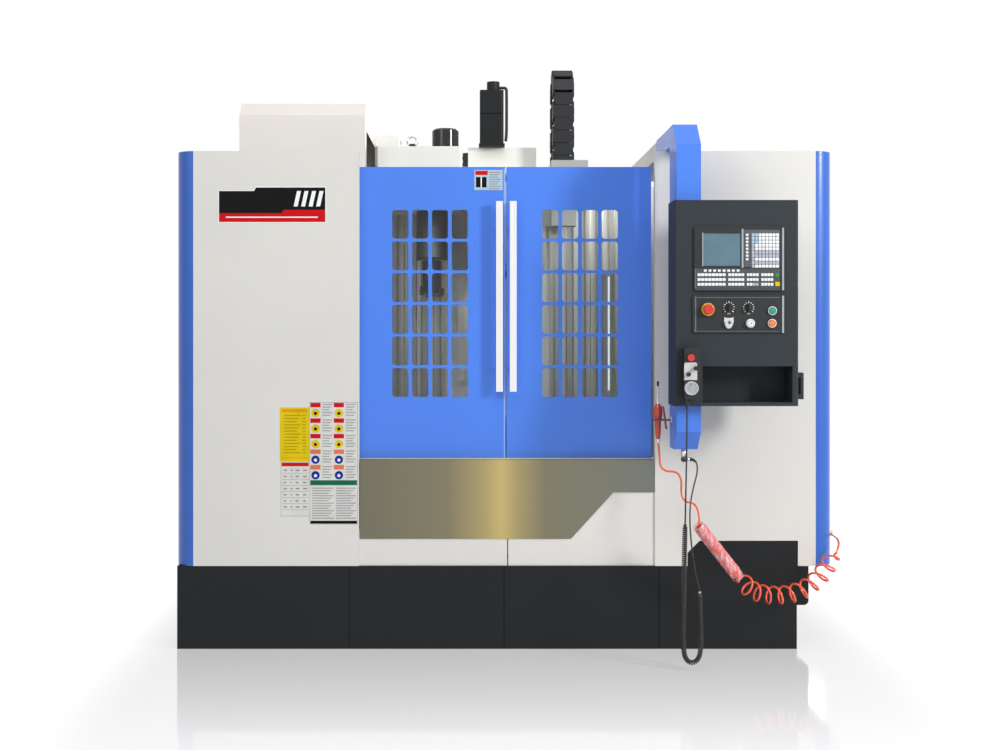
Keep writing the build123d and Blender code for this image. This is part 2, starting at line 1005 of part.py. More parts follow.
def corner():
    """The right corner: a quarter round sheet from the front panel to the side panel."""
    at = (half_width - corner_radius, corner_radius, (panel_bottom, panel_top))
    ring = post(*at, corner_radius) - post(*at, corner_radius - sheet)
    quarter = block((at[0], half_width), place_y(0, corner_radius), at[2])
    return ring & quarter


def side_panel():
    """The right side panel, with its return across the back."""
    z = (panel_bottom, panel_top)
    wall = block((half_width - sheet, half_width), place_y(corner_radius, side_end), z)
    back = block((rear_return, half_width), place_y(side_end - sheet, side_end), z)
    lip = block((rear_return, rear_return + sheet), place_y(side_end - flange, side_end), z)
    foot = block(
        (half_width - flange, half_width),
        place_y(corner_radius, side_end),
        (panel_bottom, panel_bottom + sheet),
    )
    return wall + back + lip + foot


def apron():
    first, second = apron_cut
    y = (apron_setback, apron_setback + sheet)
    edge = [
        (apron_left, apron_bottom),
        first,
        second,
        (opening_right, second[1]),
        (opening_right, apron_top),
        (apron_left, apron_top),
    ]
    face = along_y(y, edge)
    sill = block(
        (apron_left, opening_right),
        place_y(y[0], y[0] + apron_sill),
        (apron_top - sheet, apron_top),
    )
    save("apron", face + sill)


def lower_panels():
    first, second = apron_cut
    y = (lower_setback, lower_setback + sheet)
    seam = (lower_seam_x - sheet_joint / 2, lower_seam_x + sheet_joint / 2)
    left = block((opening_left, seam[0]), place_y(*y), (panel_bottom, apron_bottom + flange))
    right = [
        (seam[1], panel_bottom),
        (opening_right, panel_bottom),
        (opening_right, second[1] + flange),
        (second[0], second[1] + flange),
        (first[0], first[1] + flange),
        (seam[1], first[1] + flange),
    ]
    save("lower_panels", left, along_y(y, right))


def door_track():
    side = half_width - sheet
    y = door_setback + door_depth + slide_gap
    upper = block(
        (-side, side),
        place_y(y, y + track_depth),
        (door_top - track_drop - track_height, door_top - track_drop),
    )
    lower = block(
        (-side + 2 * sheet, side - 2 * sheet),
        place_y(door_setback, apron_setback + apron_sill),
        (apron_top, door_bottom - slide_gap),
    )
    save("door_track", upper, lower)


# Doors with their window grids, panes and handles
def window_places(first_x):
    for column_number in range(window_columns):
        for row in range(window_rows):
            yield first_x + column_number * window_pitch_x, window_low_z + row * window_pitch_z


def door(name, x, first_x, handle_x):
    y = (door_setback, door_setback + door_depth)
    leaf = pan(x, y, (door_bottom, door_top), door_sheet)
    plane = Plane((0, front + y[0] - 1, 0), x_dir=(1, 0, 0), z_dir=(0, 1, 0))
    holes = Sketch() + [
        Pos(cx, -cz) * RectangleRounded(window_width, window_height, window_radius)
        for cx, cz in window_places(first_x)
    ]
    leaf -= extrude(plane * holes, amount=door_sheet + 2)
    save(name + "_door", leaf)
    last_x = first_x + (window_columns - 1) * window_pitch_x
    last_z = window_low_z + (window_rows - 1) * window_pitch_z
    pane = rounded_block(
        (first_x - window_width / 2 - pane_margin, last_x + window_width / 2 + pane_margin),
        (y[0] + door_sheet, y[0] + door_sheet + pane_thickness),
        (window_low_z - window_height / 2 - pane_margin, last_z + window_height / 2 + pane_margin),
        window_radius,
    )
    save(name + "_window", pane)
    half = handle_width / 2
    near = y[0] - handle_standoff
    bar = block(
        (handle_x - half, handle_x + half),
        place_y(near - handle_thickness, near),
        (handle_low, handle_high),
    )
    bar -= block(
        (handle_x - handle_groove, handle_x + handle_groove),
        place_y(near - handle_thickness, near - handle_thickness + handle_groove),
        (handle_low, handle_high),
    )
    for z in (handle_post_low, handle_post_high):
        bar += pin_y(handle_x, (near, y[0]), z, handle_post / 2)
    save(name + "_handle", bar)


# Inside: a tray over the base and a corrugated wall round the column
def interior_tray():
    side = half_width - sheet
    floor = block((-side, side), place_y(corner_radius, splash_y + splash_sheet), (pan_z - sheet, pan_z))
    hole = block(
        (-bed_half_width - sheet, bed_half_width + sheet),
        place_y(bed_front - sheet, rear_reach),
        (pan_z - 2 * sheet, bed_top),
    )
    near = []
    far = []
    count = int((side - rib_pitch) / rib_pitch)
    for n in range(-count, count + 1):
        x = n * rib_pitch
        half = rib_width / 2
        slope = rib_depth / 2
        near += [(x - half - slope, 0), (x - half, rib_depth), (x + half, rib_depth), (x + half + slope, 0)]
        far += [
            (x - half - slope, splash_sheet),
            (x - half, rib_depth + splash_sheet),
            (x + half, rib_depth + splash_sheet),
            (x + half + slope, splash_sheet),
        ]
    outline = [(-side, 0), *near, (side, 0), (side, splash_sheet), *reversed(far), (-side, splash_sheet)]
    base = pan_z - sheet
    points = [(x, front + splash_y + y, base) for x, y in outline]
    wall = extrude(make_face(Polyline(points, close=True)), amount=panel_top - base, dir=(0, 0, 1))
    y = place_y(splash_y - 1, splash_y + rib_depth + 2 * splash_sheet)
    inside = column_half_width + sheet
    wall -= block((-inside, inside), y, (bed_top, panel_top + 1))
    mouth = (magazine_left - sheet, magazine_right + sheet)
    wall -= block(mouth, y, (magazine_bottom - sheet, panel_top + 1))
    save("interior_tray", floor + wall - hole)


def work_lamp():
    y = splash_y - lamp_radius - lamp_standoff
    tube = post(lamp_x, y, (lamp_low, lamp_high), lamp_radius)
    for z in (lamp_low, lamp_high - lamp_cap):
        tube += post(lamp_x, y, (z, z + lamp_cap), lamp_radius + lamp_rim)
        tube += block((lamp_x - lamp_cap / 2, lamp_x + lamp_cap / 2), place_y(y, splash_y), (z, z + lamp_cap))
    save("work_lamp", tube)


# Arm of the control station: one C-shaped box section on a beam
def control_arm():
    upper = station_top + jaw_gap
    lower = station_bottom - jaw_gap
    edge = [
        (arm_tail, arm_top),
        (arm_front + arm_top - arm_shoulder, arm_top),
        (arm_front, arm_shoulder),
        (arm_front, upper),
        (arm_back - arm_spine, upper),
        (arm_back - arm_spine, lower),
        (arm_front, lower),
        (arm_front, arm_heel),
        (arm_front + arm_heel - arm_bottom, arm_bottom),
        (arm_back, arm_bottom),
        (arm_back, panel_top),
        (arm_tail, panel_top),
    ]
    body = along_x((arm_left, arm_right), edge)
    body += post(pivot_x, pivot_y, (upper - jaw_gap - pivot_radius, upper), pivot_radius)
    body += post(pivot_x, pivot_y, (lower, lower + jaw_gap + pivot_radius), pivot_radius)
    fork = block(
        (gun_x - gun_body_radius - fork_wall, arm_left),
        place_y(gun_y - gun_body_radius - fork_wall, gun_y + gun_body_radius + fork_wall),
        (gun_body_low - hook_wire, gun_body_low),
    )
    slot = post(gun_x, gun_y, (gun_low, gun_body_high), gun_grip_radius + fork_gap)
    slot += block(
        (gun_x - 3 * gun_body_radius, gun_x),
        place_y(gun_y - gun_grip_radius - fork_gap, gun_y + gun_grip_radius + fork_gap),
        (gun_low, gun_body_high),
    )
    slot += block(
        (gun_x, arm_left - 2 * hook_wire),
        place_y(gun_y - lever_width / 2 - 2 * fork_gap, gun_y + lever_width / 2 + 2 * fork_gap),
        (gun_low, gun_body_high),
    )
    save("control_arm", body + (fork - slot))
    beam = block((arm_left, arm_right), place_y(arm_tail, side_end), (panel_top, arm_top - beam_step))
    save("support_beam", beam)


# Control box with its shelf, pivots, grip and the holder of the pendant
def bore_y(place, depth, radius):
    return pin_y(place[0], depth, place[1], radius)


def control_box():
    x = (station_left, station_right)
    body = block(x, place_y(box_front, box_back), (station_bottom, station_top))
    body = fillet(body.edges().filter_by(Axis.Z), station_radius)
    body -= block(
        (shelf_left, shelf_right),
        place_y(box_front - 1, box_front + shelf_depth),
        (shelf_bottom, shelf_top),
    )
    for low in (station_bottom - 1, station_top - pivot_radius - gap):
        body -= post(pivot_x, pivot_y, (low, low + pivot_radius + gap + 1), pivot_radius + gap)
    panel_face = box_front
    for place in (stop_place, start_place, hold_place):
        body -= bore_y(place, (panel_face - 1, panel_face + 3 * stop_stroke), button_radius)
    grip = block(
        (station_right, station_right + grip_x),
        place_y(grip_y, grip_y + grip_depth),
        (grip_low, grip_high),
    )
    grip -= block(
        (station_right - 1, station_right + grip_room),
        place_y(box_front, box_back),
        (grip_low + grip_end, grip_high - grip_end),
    )
    holder = block(
        (pendant_left - holder_lip, pendant_right + holder_lip),
        place_y(pendant_back, box_front),
        (pendant_top - holder_height - holder_lip, pendant_top - holder_lip),
    )
    for at in (pendant_left - holder_lip, pendant_right):
        holder += block(
            (at, at + holder_lip),
            place_y(pendant_back - 3 * holder_lip, pendant_back),
            (pendant_top - holder_height - holder_lip, pendant_top - holder_lip),
        )
    save("control_box", body + grip + holder)


def key_places():
    """The centres of the rows of keys beside and below the screen, with each key's width and height."""
    for row in range(key_rows):
        for n in range(key_columns):
            across = key_left + n * key_pitch + key_size / 2
            yield across, key_top - (row + 0.5) * key_pitch, key_size, key_size
    for n in range(soft_key_count):
        yield soft_key_x, key_top - (n + 0.5) * key_pitch, key_size, key_size
        across = screen_left + (n + 0.5) * (screen_right - screen_left) / soft_key_count
        yield across, screen_bottom - 2 * key_size, key_size, key_size


def cnc_unit():
    y = (box_front - unit_thickness, box_front)
    plate = rounded_block((unit_left, unit_right), y, (unit_bottom, unit_top), station_radius)
    pocket = block(
        (screen_left, screen_right),
        place_y(y[0] - 1, y[0] + screen_pocket),
        (screen_bottom, screen_top),
    )
    plate -= pocket
    for x, z, width, height in key_places():
        key_x = (x - width / 2, x + width / 2)
        plate += block(key_x, place_y(y[0] - key_height, y[0]), (z - height / 2, z + height / 2))
    save("cnc_unit", plate)
    screen = block(
        (screen_left, screen_right),
        place_y(y[0] + screen_recess, y[0] + screen_pocket),
        (screen_bottom, screen_top),
    )
    save("display_screen", screen)


def operator_panel():
    y = (box_front - panel_thickness, box_front)
    plate = rounded_block((panel_left, panel_right), y, (panel_low, panel_high), station_radius / 2)
    plate += bore_y(stop_place, (y[0] - collar_height, y[0]), collar_radius)
    plate -= bore_y(stop_place, (y[0] - 2 * collar_height, y[1] + 1), stop_stem + slide_gap)
    for place in (start_place, hold_place):
        plate += bore_y(place, (y[0] - button_ring_height, y[0]), button_ring)
        plate -= bore_y(place, (y[0] - 2 * button_ring_height, y[1] + 1), button_stem + slide_gap)
    for place in key_switch_places:
        plate += bore_y(place, (y[0] - key_switch_height, y[0]), key_switch_radius)
        slot_y = place_y(y[0] - key_switch_height - 1, y[0] - key_switch_height / 2)
        half = key_slot_width / 2
        reach = key_switch_radius / 2
        plate -= block((place[0] - half, place[0] + half), slot_y, (place[1] - reach, place[1] + reach))
    save("operator_panel", plate)
    return y[0]


def controls(face):
    near = face - collar_height - stop_stroke - slide_gap
    cap = bore_y(stop_place, (near - stop_cap, near), stop_radius)
    cap = fillet(cap.faces().sort_by(Axis.Y)[0].edges(), stop_fillet)
    save("emergency_stop", cap + bore_y(stop_place, (near, box_front + stem_reach), stop_stem))
    for name, place in zip(("feed_override", "spindle_override"), override_places):
        skirt = bore_y(place, (face - override_skirt, face - slide_gap), override_radius)
        grip = block(
            (place[0] - override_grip / 2, place[0] + override_grip / 2),
            place_y(face - override_height, face - override_skirt),
            (place[1] - override_radius, place[1] + override_radius),
        )
        save(name, skirt + (grip & bore_y(place, (face - override_height, face), override_radius)))
    for name, place in (("start_button", start_place), ("hold_button", hold_place)):
        head = bore_y(place, (face - button_cap, box_front + stem_reach), button_stem)
        save(name, chamfer(head.faces().sort_by(Axis.Y)[0].edges(), button_chamfer))


# Handwheel pendant
def pendant():
    z = (pendant_bottom, pendant_top)
    body = rounded_block((pendant_left, pendant_right), (pendant_front, pendant_back), z, pendant_radius)
    gland_y = (pendant_front + pendant_back) / 2
    body += post(gland_x, gland_y, (pendant_bottom - gland_height, pendant_bottom), gland_radius)
    stem = pendant_stop_radius / 2
    pocket = (pendant_front - 1, pendant_front + 2 * button_stroke + stem_reach)
    body -= bore_y(pendant_stop_place, pocket, stem + slide_gap)
    save("pendant", body)
    near = pendant_front - button_stroke - slide_gap
    cap = bore_y(pendant_stop_place, (near - pendant_stop_height, near), pendant_stop_radius)
    save("pendant_stop", cap + bore_y(pendant_stop_place, (near, pendant_front + button_stroke), stem))
    for name, place in (("axis_knob", axis_knob_place), ("step_knob", step_knob_place)):
        top = pendant_front - small_knob_height
        knob = bore_y(place, (top, pendant_front - slide_gap), small_knob_radius)
        half = mark_width / 2
        mark_z = (place[1], place[1] + small_knob_radius)
        save(name, knob - block((place[0] - half, place[0] + half), place_y(top, top + half), mark_z))
    wheel = bore_y(wheel_place, (pendant_front - wheel_height, pendant_front - slide_gap), wheel_radius)
    wheel -= bore_y(
        wheel_place,
        (pendant_front - wheel_height, pendant_front - wheel_height / 2),
        wheel_hollow,
    )
    wheel += bore_y(wheel_place, (pendant_front - wheel_height, pendant_front - slide_gap), wheel_hub)
    crank = (wheel_place[0], wheel_place[1] + crank_circle)
    wheel += bore_y(crank, (-front_reach, pendant_front - wheel_height / 2), crank_radius)
    save("handwheel", wheel)


# Air gun, its lever, the cord's connector and the hose's fitting
def air_gun():
    body = post(gun_x, gun_y, (gun_low, gun_body_low), gun_grip_radius)
    body += post(gun_x, gun_y, (gun_body_low, gun_body_high), gun_body_radius)
    body += post(gun_x, gun_y, (gun_body_high, gun_top), nozzle_radius)
    save("air_gun", body)
    top = gun_body_high - lever_drop
    near = gun_x + gun_body_radius + slide_gap
    edge = [
        (near, top),
        (near + lever_thickness, top),
        (near + 3 * lever_thickness, top - lever_length),
        (near + 2 * lever_thickness, top - lever_length),
    ]
    y = (gun_y - lever_width / 2, gun_y + lever_width / 2)
    save("gun_lever", along_y(y, edge))


def cord_connector():
    z = arm_bottom - connector_length
    body = post(connector_x, connector_y, (z, arm_bottom), connector_stem)
    body += Pos(connector_x, front + connector_y, z - ball_radius / 2) * Sphere(ball_radius)
    body += pin_x(
        (connector_x, connector_lead_route[0][0] - 1),
        connector_y,
        z - ball_radius / 2,
        side_boss_radius,
    )
    save("cord_connector", body)


def hose_fitting():
    end = right_side(hose_tail_route)[-1]
    x = (half_width, end[0] + fitting_radius)
    body = pin_x(x, end[1] + fitting_length, end[2], fitting_radius)
    body += pin_y(end[0], (end[1] + gap, end[1] + fitting_length), end[2], fitting_neck)
    save("hose_fitting", body)


# Electrical cabinet with its door at the back
def cabinet():
    x = (-cabinet_half_width, cabinet_half_width)
    z = (cabinet_bottom, cabinet_top)
    door_y = rear_reach - cabinet_door_depth
    body = block(x, place_y(bed_back, door_y - slide_gap), z)
    body = fillet(body.edges().filter_by(Axis.Z), cabinet_radius)
    save("electrical_cabinet", body)
    edge = cabinet_door_gap
    leaf = pan((x[0] + edge, x[1] - edge), (-rear_reach, -door_y), (z[0] + edge, z[1] - edge), sheet)
    leaf = mirror(Pos(0, -front, 0) * leaf, about=Plane.XZ)
    leaf = Pos(0, front, 0) * leaf
    plate = None
    for n in range(cabinet_vent_rows):
        at = z[0] + cabinet_vent_low + n * cabinet_vent_pitch
        for side in (-1, 1):
            cut = block(
                (side * cabinet_vent_x - cabinet_vent[0] / 2, side * cabinet_vent_x + cabinet_vent[0] / 2),
                place_y(door_y, rear_reach + 1),
                (at, at + cabinet_vent[1]),
            )
            plate = cut if plate is None else plate + cut
    save("cabinet_door", leaf - plate)


# Cords: straight runs joined by tangent arcs, each arc as large as its runs allow
pendant_lead_route = (
    (668, -357, 1005.5),
    (667.6, -356.6, 950),
    (667, -355.2, 870),
    (666.2, -352.4, 785),
    (665.2, -348.6, 700),
    (664.2, -344, 620),
    (663.6, -340, 554),
)
curly_cord_route = (
    (663.5, -339.6, 552),
    (661, -339, 470),
    (660, -338, 345),
    (659, -336, 215),
    (657, -334, 135),
    (659, -332, 90),
    (662, -330, 60),
    (674, -328, 38),
    (692, -326, 30),
    (711, -324, 38),
    (722, -322, 60),
    (725, -320, 90),
    (726, -319, 135),
    (724, -318, 210),
    (722, -317, 296),
)
connector_lead_route = (
    (712, -190, 778.5),
    (728, -192, 774),
    (735, -197, 758),
    (733, -206, 726),
    (718, -222, 684),
    (702, -242, 630),
    (693, -268, 565),
    (694, -288, 490),
    (700, -302, 415),
    (708, -311, 355),
    (719, -316, 315),
    (722, -317, 297),
)
hose_route = (
    (591, -150, 852.4),
    (596, -153, 800),
    (600, -157, 728),
    (682, -170, 729),
    (672, -188, 614),
    (741, -205, 611),
    (737.7, -225.6, 541.9),
)
wrapped_coil_ends = ((731.4, -228.2, 531.5), (902, -160, 318))
recoil_run = 66
recoil_coil_bend = (
    (1010, -130, 244),
    (1082, -122, 240),
    (1150, -114, 254),
    (1214, -104, 288),
    (1264, -84, 338),
    (1308, -62, 394),
)
hose_tail_route = (
    (1309.5, -61, 396),
    (1322, -50, 418),
    (1331, -20, 436),
    (1332, 20, 445),
    (1332, 84, 446),
)
lead_radius = 3
curly_radius = 10
hose_radius = 4.25
wrapped_radius = 25
recoil_radius = 37.5
bend_share = 0.45
drawn_half_width = 1320


def cord_tube(name, route, radius):
    """A round tube along a route, with its radii and its volume printed."""
    points = [Vector(x, front + y, z) for x, y, z in route]
    runs = [b - a for a, b in zip(points, points[1:])]
    radii = []
    for first, second in zip(runs, runs[1:]):
        half_turn = radians(first.get_angle(second) / 2)
        radii.append(bend_share * min(first.length, second.length) / tan(half_turn))
    path = FilletPolyline(*points, radius=radii)
    section = Plane(origin=path @ 0, z_dir=path % 0) * Circle(radius)
    tube = sweep(section, path=path)
    share = tube.volume / (pi * radius**2 * path.length)
    print(
        name,
        "radii",
        [round(r) for r in radii],
        "length",
        round(path.length),
        "volume share",
        round(share, 4),
    )
    return tube


def right_side(route):
    """A route whose places across are counted from the right side of the machine as drawn."""
    return [(x + half_width - drawn_half_width, y, z) for x, y, z in route]


def cords():
    save("pendant_lead", cord_tube("pendant_lead", pendant_lead_route, lead_radius))
    save("curly_cord", cord_tube("curly_cord", curly_cord_route, curly_radius))
    save("connector_lead", cord_tube("connector_lead", connector_lead_route, lead_radius))
    hose = cord_tube("hose", hose_route, hose_radius)
    tail = cord_tube("hose_tail", right_side(hose_tail_route), hose_radius)
    save("air_hose", hose, tail)
    start = Vector(*wrapped_coil_ends[0])
    end = Vector(*right_side(wrapped_coil_ends[1:])[0])
    along = (end - start).normalized()
    near = end + slide_gap * along
    bend = [tuple(near), tuple(near + recoil_run * along), *right_side(recoil_coil_bend)]
    save("recoil_coil", cord_tube("recoil_coil", bend, recoil_radius))
    plane = Plane(origin=start + Vector(0, front, 0), z_dir=along)
    save("wrapped_coil", extrude(plane * Circle(wrapped_radius), amount=(end - start).length))


# The whole machine
coolant_tank()
bed()
saddle()
table()
save("column", column() + trough(chain_front_y + 2 * chain_bend))
z_motor()
spindle_head()
head_cover()
spindle()
cable_chain()
magazine_cover()
magazine_disc()
changer()
front_panels()
save("corner_columns", corner(), mirrored(corner()))
save("right_side_panel", side_panel())
save("left_side_panel", mirrored(side_panel()))
apron()
lower_panels()
door_track()
door("left", (door_left, door_seam - sheet_joint / 2), window_left_x, handle_left_x)
door("right", (door_seam + sheet_joint / 2, door_right), window_right_x, handle_right_x)
interior_tray()
work_lamp()
control_arm()
control_box()
cnc_unit()
controls(operator_panel())
pendant()
air_gun()
cord_connector()
hose_fitting()
cabinet()
cords()
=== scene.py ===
from math import cos, pi, radians, sin

import bmesh
import bpy
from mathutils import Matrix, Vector, noise


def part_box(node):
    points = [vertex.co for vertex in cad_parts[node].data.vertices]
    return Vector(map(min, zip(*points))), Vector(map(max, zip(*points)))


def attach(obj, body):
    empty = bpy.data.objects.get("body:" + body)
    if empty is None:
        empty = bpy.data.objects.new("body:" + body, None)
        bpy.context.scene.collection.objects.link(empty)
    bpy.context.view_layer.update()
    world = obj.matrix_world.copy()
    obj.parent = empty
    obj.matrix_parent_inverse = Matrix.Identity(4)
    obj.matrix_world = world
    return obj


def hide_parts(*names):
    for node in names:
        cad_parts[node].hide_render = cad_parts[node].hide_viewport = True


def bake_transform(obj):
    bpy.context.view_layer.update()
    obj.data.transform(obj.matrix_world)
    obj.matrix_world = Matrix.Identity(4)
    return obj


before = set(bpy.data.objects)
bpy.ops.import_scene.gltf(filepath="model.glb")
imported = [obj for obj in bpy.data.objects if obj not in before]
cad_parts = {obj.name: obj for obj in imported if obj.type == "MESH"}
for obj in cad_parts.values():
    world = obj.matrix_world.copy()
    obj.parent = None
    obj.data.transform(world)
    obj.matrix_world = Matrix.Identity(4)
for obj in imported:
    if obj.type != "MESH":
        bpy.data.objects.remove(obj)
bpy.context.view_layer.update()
scene = bpy.context.scene

# Metres, +Z up, +X right, +Y to the back. Places across Y are measured from the front panels.
mm = 0.001
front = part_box("left_front_panel")[0].y


def place(x, y, z):
    """A point given in millimetres, with y counted from the front panels."""
    return Vector((x * mm, front + y * mm, z * mm))


# Camera: 5 m in front of the panels, at chest height. Its axis meets the photograph, 1000 by 750
# pixels, at the view's column and row.
camera_x, camera_y, camera_z = -146, -5000, 1276
photo_width, photo_height = 1000, 750
view_column, view_row = 468, 330
camera_data = bpy.data.cameras.new("camera")
camera_data.lens = 45
camera_data.sensor_width = 36
camera_data.shift_x = (photo_width / 2 - view_column) / photo_width
camera_data.shift_y = (view_row - photo_height / 2) / photo_width
focal_pixels = photo_width * camera_data.lens / camera_data.sensor_width
camera = bpy.data.objects.new("camera", camera_data)
camera.location = place(camera_x, camera_y, camera_z)
camera.rotation_euler = (radians(90), 0, 0)
scene.collection.objects.link(camera)
scene.camera = camera


# Colours and node helpers
def shade(colour, factor=1):
    """A colour on screen, from 0 to 255, as a shader's linear colour times a factor."""
    linear = []
    for value in colour:
        share = value / 255
        value = share / 12.92 if share <= 0.04045 else ((share + 0.055) / 1.055) ** 2.4
        linear.append(min(1, value * factor))
    return (*linear, 1)


class Graph:
    """A node tree, with short calls for what the materials and the world share."""

    def __init__(self, tree):
        self.tree = tree

    def add(self, kind, inputs=None, **settings):
        """A new node. Each of its inputs is a value or the output of another node."""
        node = self.tree.nodes.new("ShaderNode" + kind)
        for key, value in settings.items():
            setattr(node, key, value)
        for socket, value in (inputs or {}).items():
            if isinstance(value, bpy.types.NodeSocket):
                self.tree.links.new(value, node.inputs[socket])
            else:
                node.inputs[socket].default_value = value
        return node

    def remap(self, value, start, end, low=0.0, high=1.0, interpolation="LINEAR"):
        """What lies between start and end, spread from low to high."""
        inputs = {"Value": value, "From Min": start, "From Max": end, "To Min": low, "To Max": high}
        node = self.add("MapRange", inputs, interpolation_type=interpolation)
        return node.outputs["Result"]

    def combine(self, operation, *values, kind="Math", output="Value"):
        return self.add(kind, dict(enumerate(values)), operation=operation).outputs[output]

    def mix(self, share, first, second):
        """The first shader with a share of the second."""
        return self.add("MixShader", {0: share, 1: first, 2: second}).outputs["Shader"]


class Nodes(Graph):
    """A new material with its shader, and short calls for its colour, roughness and relief."""

    noise_low, noise_high = 0.3, 0.7  # nearly all of a noise lies between these

    def __init__(self, name, **sockets):
        self.material = bpy.data.materials.new(name)
        self.material.use_nodes = True
        super().__init__(self.material.node_tree)
        self.shader = self.tree.nodes["Principled BSDF"]
        for socket, value in sockets.items():
            self.shader.inputs[socket.replace("_", " ")].default_value = value
        self.place = self.add("TexCoord").outputs["Object"]

    def link(self, output, socket):
        self.tree.links.new(output, self.shader.inputs[socket])

    def surface(self, shader):
        self.tree.links.new(shader, self.tree.nodes["Material Output"].inputs["Surface"])

    def noise(self, scale, detail=2, stretch=None):
        place = self.place
        if stretch:
            mapping = self.add("Mapping", {"Vector": place, "Scale": stretch})
            place = mapping.outputs["Vector"]
        inputs = {"Vector": place, "Scale": scale, "Detail": detail}
        return self.add("TexNoise", inputs).outputs["Fac"]

    def bands(self, scale, distortion):
        inputs = {"Vector": self.place, "Scale": scale, "Distortion": distortion}
        settings = {"wave_type": "BANDS", "bands_direction": "X"}
        return self.add("TexWave", inputs, **settings).outputs["Fac"]

    def ramp(self, value, stops):
        node = self.add("ValToRGB", {"Fac": value})
        elements = node.color_ramp.elements
        while len(elements) < len(stops):
            elements.new(0.5)
        for element, (position, colour) in zip(elements, stops):
            element.position = position
            element.color = colour
        return node.outputs["Color"]

    def tone(self, value, colour, *shades, socket="Base Color"):
        """A colour that changes with a value. Each shade is a place on it and a factor."""
        self.link(self.ramp(value, [(at, shade(colour, factor)) for at, factor in shades]), socket)

    def gloss(self, value, roughness, below, above):
        """Roughness that changes with a noise, from a little below a value to a little above."""
        low, high = roughness - below, roughness + above
        self.link(self.remap(value, self.noise_low, self.noise_high, low, high), "Roughness")

    def bump(self, height, strength, distance, edge=0.0):
        """Relief on the surface, with the solid's edges rounded by the given radius."""
        inputs = {"Height": height, "Strength": strength, "Distance": distance}
        if edge:
            bevel = self.add("Bevel", {"Radius": edge}, samples=4)
            inputs["Normal"] = bevel.outputs["Normal"]
        self.link(self.add("Bump", inputs).outputs["Normal"], "Normal")


# Materials
def paint(name, colour, roughness, texture=0.12, edge=0.0012, **sockets):
    """Sprayed or powder paint: faint mottling, a fine orange peel and softened edges."""
    n = Nodes(name, Coat_Roughness=0.12, **sockets)
    n.tone(n.noise(1.7, 3), colour, (0.3, 0.965), (0.7, 1.02))
    n.gloss(n.noise(4), roughness, 0.03, 0.03)
    n.bump(n.noise(750), texture, 0.0006, edge)
    return n.material


def powder(name, colour, roughness):
    """Coarse textured powder paint with a fine grain."""
    n = Nodes(name, Specular_IOR_Level=0.25)
    grain = n.noise(900, 4)
    n.tone(grain, colour, (0.35, 0.86), (0.7, 1.14))
    n.gloss(n.noise(60, 3), roughness, 0.06, 0.06)
    n.bump(grain, 0.3, 0.0006, 0.0015)
    return n.material


def brushed(name, colour, roughness, stretch, strength=0.1, anisotropy=0.0):
    """Metal with its grain drawn out along one direction."""
    n = Nodes(name, Metallic=1.0, Anisotropic=anisotropy)
    grain = n.noise(1, 5, stretch)
    n.tone(grain, colour, (0.3, 0.9), (0.7, 1.06))
    n.gloss(grain, roughness, 0.05, 0.07)
    n.bump(grain, strength, 0.0003, 0.0008)
    return n.material


def satin_sheet(name, colours, roughness, left, right):
    """Satin stainless sheet: a fine grain, and a warm reflection painted into its colour across its
    width.
    """
    n = Nodes(name, Metallic=1.0, Anisotropic=0.3)
    across = n.add("SeparateXYZ", {"Vector": n.place}).outputs["X"]
    # The warm band across the width is a painted reflection
    painted_reflection = n.ramp(n.remap(across, left, right), [(at, shade(tint)) for at, tint in colours])
    grain = n.noise(1, 5, (4, 4, 1400))
    shades = n.ramp(grain, [(0.3, shade((238, 238, 238))), (0.7, shade((255, 255, 255)))])
    settings = {"data_type": "RGBA", "blend_type": "MULTIPLY"}
    mixed = n.add("Mix", {"Factor": 0.6, "A": painted_reflection, "B": shades}, **settings)
    n.link(mixed.outputs["Result"], "Base Color")
    n.gloss(grain, roughness, 0.02, 0.03)
    n.bump(grain, 0.03, 0.0002, 0.0008)
    return n.material


def folded_sheet(name, colour, roughness, folds):
    """Bright inner sheet with soft upright bands of painted light and shade for the light on its
    folds.
    """
    n = Nodes(name, Metallic=1.0, Anisotropic=0.3)
    n.tone(n.bands(folds, 0.6), colour, (0.15, 0.78), (0.6, 0.94), (0.95, 1.14))
    grain = n.noise(1, 5, (900, 900, 4))
    n.gloss(grain, roughness, 0.05, 0.07)
    n.bump(grain, 0.03, 0.0003, 0.0008)
    return n.material


def film(name, colour, cover):
    """Thin clear plastic film in streaks, partly doubled and creased."""
    n = Nodes(name, Roughness=0.25, Coat_Weight=0.5)
    streak = n.noise(1, 4, (70, 70, 24))
    n.tone(streak, colour, (0.35, 0.75), (0.65, 1))
    n.bump(streak, 0.6, 0.002)
    clear = n.add("BsdfTransparent")
    share = n.remap(streak, n.noise_low, n.noise_high, cover - 0.3, cover + 0.4)
    n.surface(n.mix(share, clear.outputs["BSDF"], n.shader.outputs["BSDF"]))
    return n.material


def ground(name, colour, roughness):
    """Machined iron or steel with fine cutter marks and a thin film of oil."""
    n = Nodes(name, Metallic=1.0, Coat_Weight=0.15)
    stain = n.noise(9, 4)
    n.tone(stain, colour, (0.3, 0.84), (0.7, 1.05))
    n.gloss(stain, roughness, 0.06, 0.1)
    n.bump(n.bands(240, 2.5), 0.08, 0.0002, 0.0008)
    return n.material


def moulded(name, colour, roughness, grain=0.08, edge=0.0006, **sockets):
    """Plastic or rubber with a fine moulded grain."""
    n = Nodes(name, **sockets)
    n.tone(n.noise(14, 3), colour, (0.3, 0.93), (0.7, 1.05))
    n.gloss(n.noise(120, 3), roughness, 0.05, 0.06)
    n.bump(n.noise(1600), grain, 0.0003, edge)
    return n.material


